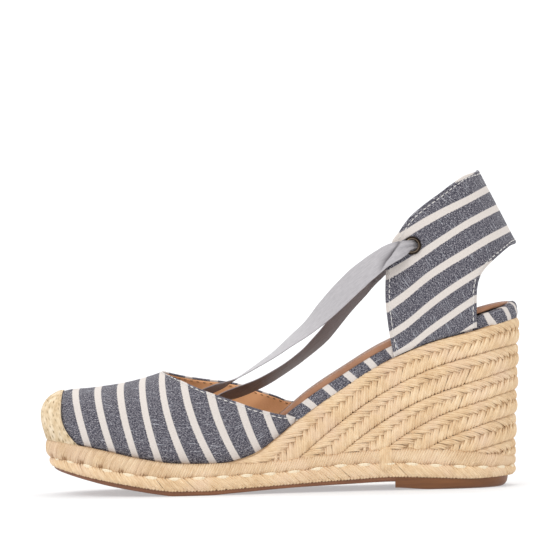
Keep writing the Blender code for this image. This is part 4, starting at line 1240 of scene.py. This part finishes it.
def plait(strip, leans, meet=0.55, band=False, overlap=0.08, depth=2.4, groove=0.24, edge=0.03,
          fat=0.75):
    """Herringbone strands: one family climbs from the lower edge, the other falls from the upper.

    Each strand is a group of yarns carried up a rounded cross-section, from deep in the seam to
    where the families meet: its share of the width and its stand-off are powers of the cosine and
    sine of one angle. The upper family starts along its edge. The tips dive under each other. With
    band, what lies under the wrapped band's top is drawn in behind it.
    """
    count = int(strip.run[-1] / PLAIT_PITCH) + 2
    b = np.linspace(0, 1, 10)[None, :]
    number = np.repeat(np.arange(count), YARNS)
    member = np.tile(np.arange(YARNS), count) - (YARNS - 1) / 2
    skins = []
    for family, (lean, along) in enumerate(zip(leans, (0.15, 0.5))):
        lean = math.radians(lean)
        crossing = (1 - meet if family else meet) + overlap
        level = 1 - 2 * crossing
        last = math.acos(math.copysign(abs(level) ** 1.25, level))
        loose = draw.normal(0, (0.11, 0.07, 0.05), (count, 3))[number]
        ragged = draw.normal(0, 0.05, len(number))
        spacing = 0.315 * PLAIT_PITCH * math.sin(lean)
        reach = 1 - 0.055 * member**2 + draw.normal(0, 0.015, len(number))
        angle = -0.25 + (last + 0.25) * b * reach[:, None]
        crossed = 0.5 - 0.5 * np.sign(np.cos(angle)) * np.abs(np.cos(angle)) ** 0.8
        share = edge + (1 - 2 * edge) * (1 - crossed if family else crossed)
        height = np.sign(np.sin(angle)) * np.abs(np.sin(angle)) ** 0.75
        wide = np.interp(number * PLAIT_PITCH, strip.run, strip.wide)[:, None]
        gather = 1 - 0.12 * smooth((b - 0.7) / 0.3)
        side = (member * spacing / math.sin(lean))[:, None] * gather
        base = (number + 0.5 * family) * PLAIT_PITCH + loose[:, 0] + ragged
        slant = along * b + (1 - along) * crossed / crossing
        run = base[:, None] + side + crossing * wide / math.tan(lean) * slant
        dive = -1.1 * np.clip((b - 0.84) / 0.16, 0, 1) ** 1.6
        rise = (0.3 + loose[:, 2:]) * np.sin(np.pi * np.clip(b * 1.1, 0, 1))
        out = 0.4 + depth * (height - 1) + dive + rise - (groove * member**2)[:, None] + loose[:, 1:2]
        point, normal = strip.place(run, share, out)
        keep = (run[:, 0] < strip.run[-1] - 1) & (run[:, -1] > 1)
        if band:
            top = layer("band_top", point[..., 0] - TOE_X)
            hidden = 2.6 * smooth((top + 0.5 - point[..., 2]) / 1.6)
            point = point - normal * hidden[..., None]
            keep &= (point[..., 2] > top - 1.6).any(axis=1)
            point[..., 2] = np.maximum(point[..., 2], top - 2.4)
        yarn = spacing * fat * (1 - 0.22 * np.clip((b - 0.82) / 0.18, 0, 1) ** 2)
        tip = 0.3 * smooth((b - 0.9) / 0.1)
        # Painted shade: deep in the seam between rows, at each strand's tip and on the outer yarns of a
        # group, with side_shade on one flank of each outer yarn.
        shade = 1.1 * smooth((0.56 - height) / 0.45) + tip + 0.03 * np.abs(member)[:, None]
        shift = draw.uniform(0, 200, (len(number), 1))
        flank = (0.28 * groove * member)[:, None] * (-1 if family else 1)
        skins.append(sweep(point[keep], normal[keep], yarn, yarn * 0.92, shift=shift[keep],
                           shade=shade[keep], side_shade=flank[keep]))
    return skins


def wedge_row(number, straw):
    """One fanned braid of the wedge, from the band's top on one side round the heel to the other."""
    path = outline(ROPE_BACK, start=ROW_FRONTS[number] - 6)
    t = path["t"]
    high = seam(number - 1, t) if number else platform_top(t)
    low = seam(number, t) if number < len(ROW_FRONTS) - 1 else high - ROW_WIDEST[number]
    inner_low = np.maximum(low, layer("band_top", t) - 1.2)
    skins = [core(path, inner_low, np.maximum(high, inner_low + 0.4), 0.5, 2.6, 0.6)]
    skins += plait(Strip(path, low, high, ROW_WIDEST[number]), (52, 31), band=True)
    piece(f"wedge_plait_{number + 1}", skins, straw, "jute_braid", f"wedge_braid_{number + 1}")


def binding_line():
    """The line the binding stitches follow, its normals, and the hole that each stitch ends in."""
    path = outline(ROPE_BACK, tip=BRAID_TIP)
    line, normal = on_outline(path, path["arc"], -0.3, layer("braid_top", path["t"]))
    arc = lengths(line)
    ends = np.arange(1.0, arc[-1] - STITCH, STITCH + STITCH_GAP) + STITCH + STITCH_GAP - 0.9
    return line, normal, read_line(line, arc, ends)


def lap(path, values, arc):
    """Values along a closed outline at any arc length, going round again past its end."""
    return np.interp(np.mod(arc, path["arc"][-1]), path["arc"], values)


def wrapped_band(straw):
    """The band round the platform: a cord wrapped at a slant, each turn a round yarn over the edge.

    Next to each hole of the binding stitches the turns are pulled in, and painted shade darkens them.
    """
    path = outline(ROPE_BACK, tip=BAND_TIP)
    low, high = layer("braid_top", path["t"]), layer("band_top", path["t"])
    around = path["arc"][-1]
    count = int(around / WRAP_PITCH)
    share = np.linspace(0.0, 1.0, 10)[None, :]
    foot = (np.arange(count) * around / count + draw.normal(0, 0.035, count))[:, None]
    arc = foot + share * lap(path, high - low, foot) / math.tan(math.radians(WRAP_LEAN))
    z = lap(path, low, arc) + share * lap(path, high - low, arc)
    curve = np.abs(2 * share - 1)
    near_cap = (1 - smooth((lap(path, path["t"], arc) - 20) / 14)) * (share > 0.5)
    out = 0.3 - (1.9 - 0.9 * near_cap) * curve**2.6 + draw.normal(0, 0.1, (count, 1))
    point, normal = on_outline(path, arc, out, z)
    holes = binding_line()[2][:, :2]
    away = np.linalg.norm(point[:, :1, None, :2] - holes, axis=-1).min(axis=2) - 0.9
    pulled = np.exp(-((np.maximum(away, 0) / 0.9) ** 2)) * (1 - smooth((share - 0.16) / 0.2))
    pulled = pulled * (0.4 + 0.35 * smooth((100 + TOE_X - point[..., 0]) / 60))
    point = point - normal * (1.1 * pulled)[..., None]
    shift = draw.uniform(0, 200, (count, 1))
    # Painted shade where each turn curls in at its edges and next to each hole; towards the toe the
    # turns are also darker, each by a random amount.
    front = (0.14 + draw.normal(0, 0.11, (count, 1))) * smooth((90 + TOE_X - point[..., 0]) / 50)
    shade = (0.6 - 0.35 * near_cap) * smooth((curve - 0.75) / 0.25) + front + 1.1 * pulled
    skins = [core(path, low + 0.2, high - 0.2, 0.55, 2.0, 0.4),
             sweep(point, normal, WRAP_RADIUS, WRAP_RADIUS, shift=shift, shade=shade)]
    piece("wrapped_band_yarns", skins, straw, "jute_braid", "wrapped_band")


def base_braid(straw, white):
    """The braid along the sole, and the white stitches that bind it to the band above."""
    path = outline(ROPE_BACK, tip=BRAID_TIP)
    low, high = layer("tread_top", path["t"]) + 0.4, layer("braid_top", path["t"])
    skins = [core(path, low, high, 0.5, 1.1, 0.35)]
    skins += plait(Strip(path, low, high, 30.0), (42, 37), meet=0.06, overlap=0.06, depth=2.0,
                   groove=0.26, edge=0.0, fat=0.86)
    piece("base_plait", skins, straw, "jute_braid", "base_braid")
    line, normal = binding_line()[:2]
    stitches = stitch_row(line, normal, STITCH, STITCH_GAP, STITCH_RADIUS, 0.25)
    piece("binding_stitches", [stitches], white, "jute_weave")


def splice(straw):
    """Where the sole braid's ends meet on the lateral side: a few yarns wound upright over the join."""
    path = outline(ROPE_BACK, tip=BRAID_TIP)
    lateral = slice(len(path["t"]) // 2)
    middle = np.interp(SPLICE, path["t"][lateral], path["arc"][lateral])
    b = np.linspace(0, 1, 14)[None, :]
    member = np.arange(SPLICE_YARNS)[:, None] - (SPLICE_YARNS - 1) / 2
    arc = middle + member * (1.18 - 0.25 * b) + 0.5 * b + draw.normal(0, 0.06, (SPLICE_YARNS, 1))
    low, high = layer("tread_top", SPLICE) + 0.2, layer("band_top", SPLICE) + 1.6
    z = low + (high - low) * b - 0.5 * np.abs(member) * (b - 0.5)
    out = 0.9 - 2.6 * np.abs(2 * b - 1) ** 4 - 0.05 * member**2
    waist = -0.7 * np.exp(-(((z - layer("braid_top", SPLICE)) / 1.5) ** 2))
    point, normal = on_outline(path, arc, out + waist, z)
    # Painted shade at both ends of each yarn and on the outermost yarns; the yarns are also darker
    # towards their foot.
    sides = 0.3 * (np.abs(member) > 2) * smooth(1 - np.abs(b - 0.45) / 0.3)
    shade = 0.42 * smooth((0.42 - b) / 0.3) + 0.5 * smooth((np.abs(2 * b - 1) - 0.85) / 0.15) + sides
    shift = draw.uniform(0, 200, (SPLICE_YARNS, 1))
    yarns = sweep(point, normal, SPLICE_RADIUS, SPLICE_RADIUS, shift=shift, shade=shade)
    piece("braid_splice_yarns", [yarns], straw, "jute_braid")


# ---------------------------------------------------------------- the whole shoe

def main():
    """Makes the scene and every piece, in the order that the random draws follow."""
    camera()
    studio()
    ties = grosgrain("ribbon_grosgrain")
    for side in SIGN:
        ribbon(side, ties)
    cloth = chambray("striped_chambray", STRIPE_PITCH, STRIPE_SHARE)
    rand_cloth = chambray("striped_rand_chambray", RAND_PITCH, RAND_SHARE)
    # The vamp's lining is a brighter copy of the heel's lining: painted light that lifts the shade
    # inside the shoe.
    tan = leather("lit_tan_lining", (0.98, 0.545, 0.275), (0.86, 0.45, 0.21), 0.6)
    heel_tan = leather("heel_lining", (0.60, 0.34, 0.20), (0.50, 0.27, 0.15), 0.6)
    hide = leather("insole_hide", (0.36, 0.175, 0.094), (0.29, 0.132, 0.068), 0.55)
    straw = jute("jute_yarn", (0.98, 0.98, 0.975))
    white = thread("binding_thread", (0.90, 0.78, 0.58), (0.74, 0.58, 0.38))
    cotton = thread("cotton_thread", (0.80, 0.77, 0.73), (0.55, 0.53, 0.52))
    metal = brass("antique_brass")
    vamp(cloth, tan)
    vamp_edge(cloth, cotton, thread("tan_thread", (0.34, 0.15, 0.065), (0.20, 0.08, 0.035)))
    toe_cap(raffia("knotted_raffia"))
    quarter(cloth, heel_tan, cotton)
    for side in SIGN:
        eyelet(side, metal)
    rand(rand_cloth)
    insole(hide)
    tread(rubber("brown_rubber", (0.26, 0.105, 0.045), (0.17, 0.065, 0.03)),
          rubber("heel_rubber", (0.215, 0.08, 0.022), (0.155, 0.055, 0.015)))
    for number in range(len(ROW_FRONTS)):
        wedge_row(number, straw)
    wrapped_band(jute("wrapping_yarn", (0.93, 0.935, 0.96)))
    base_braid(straw, white)
    splice(straw)


main()
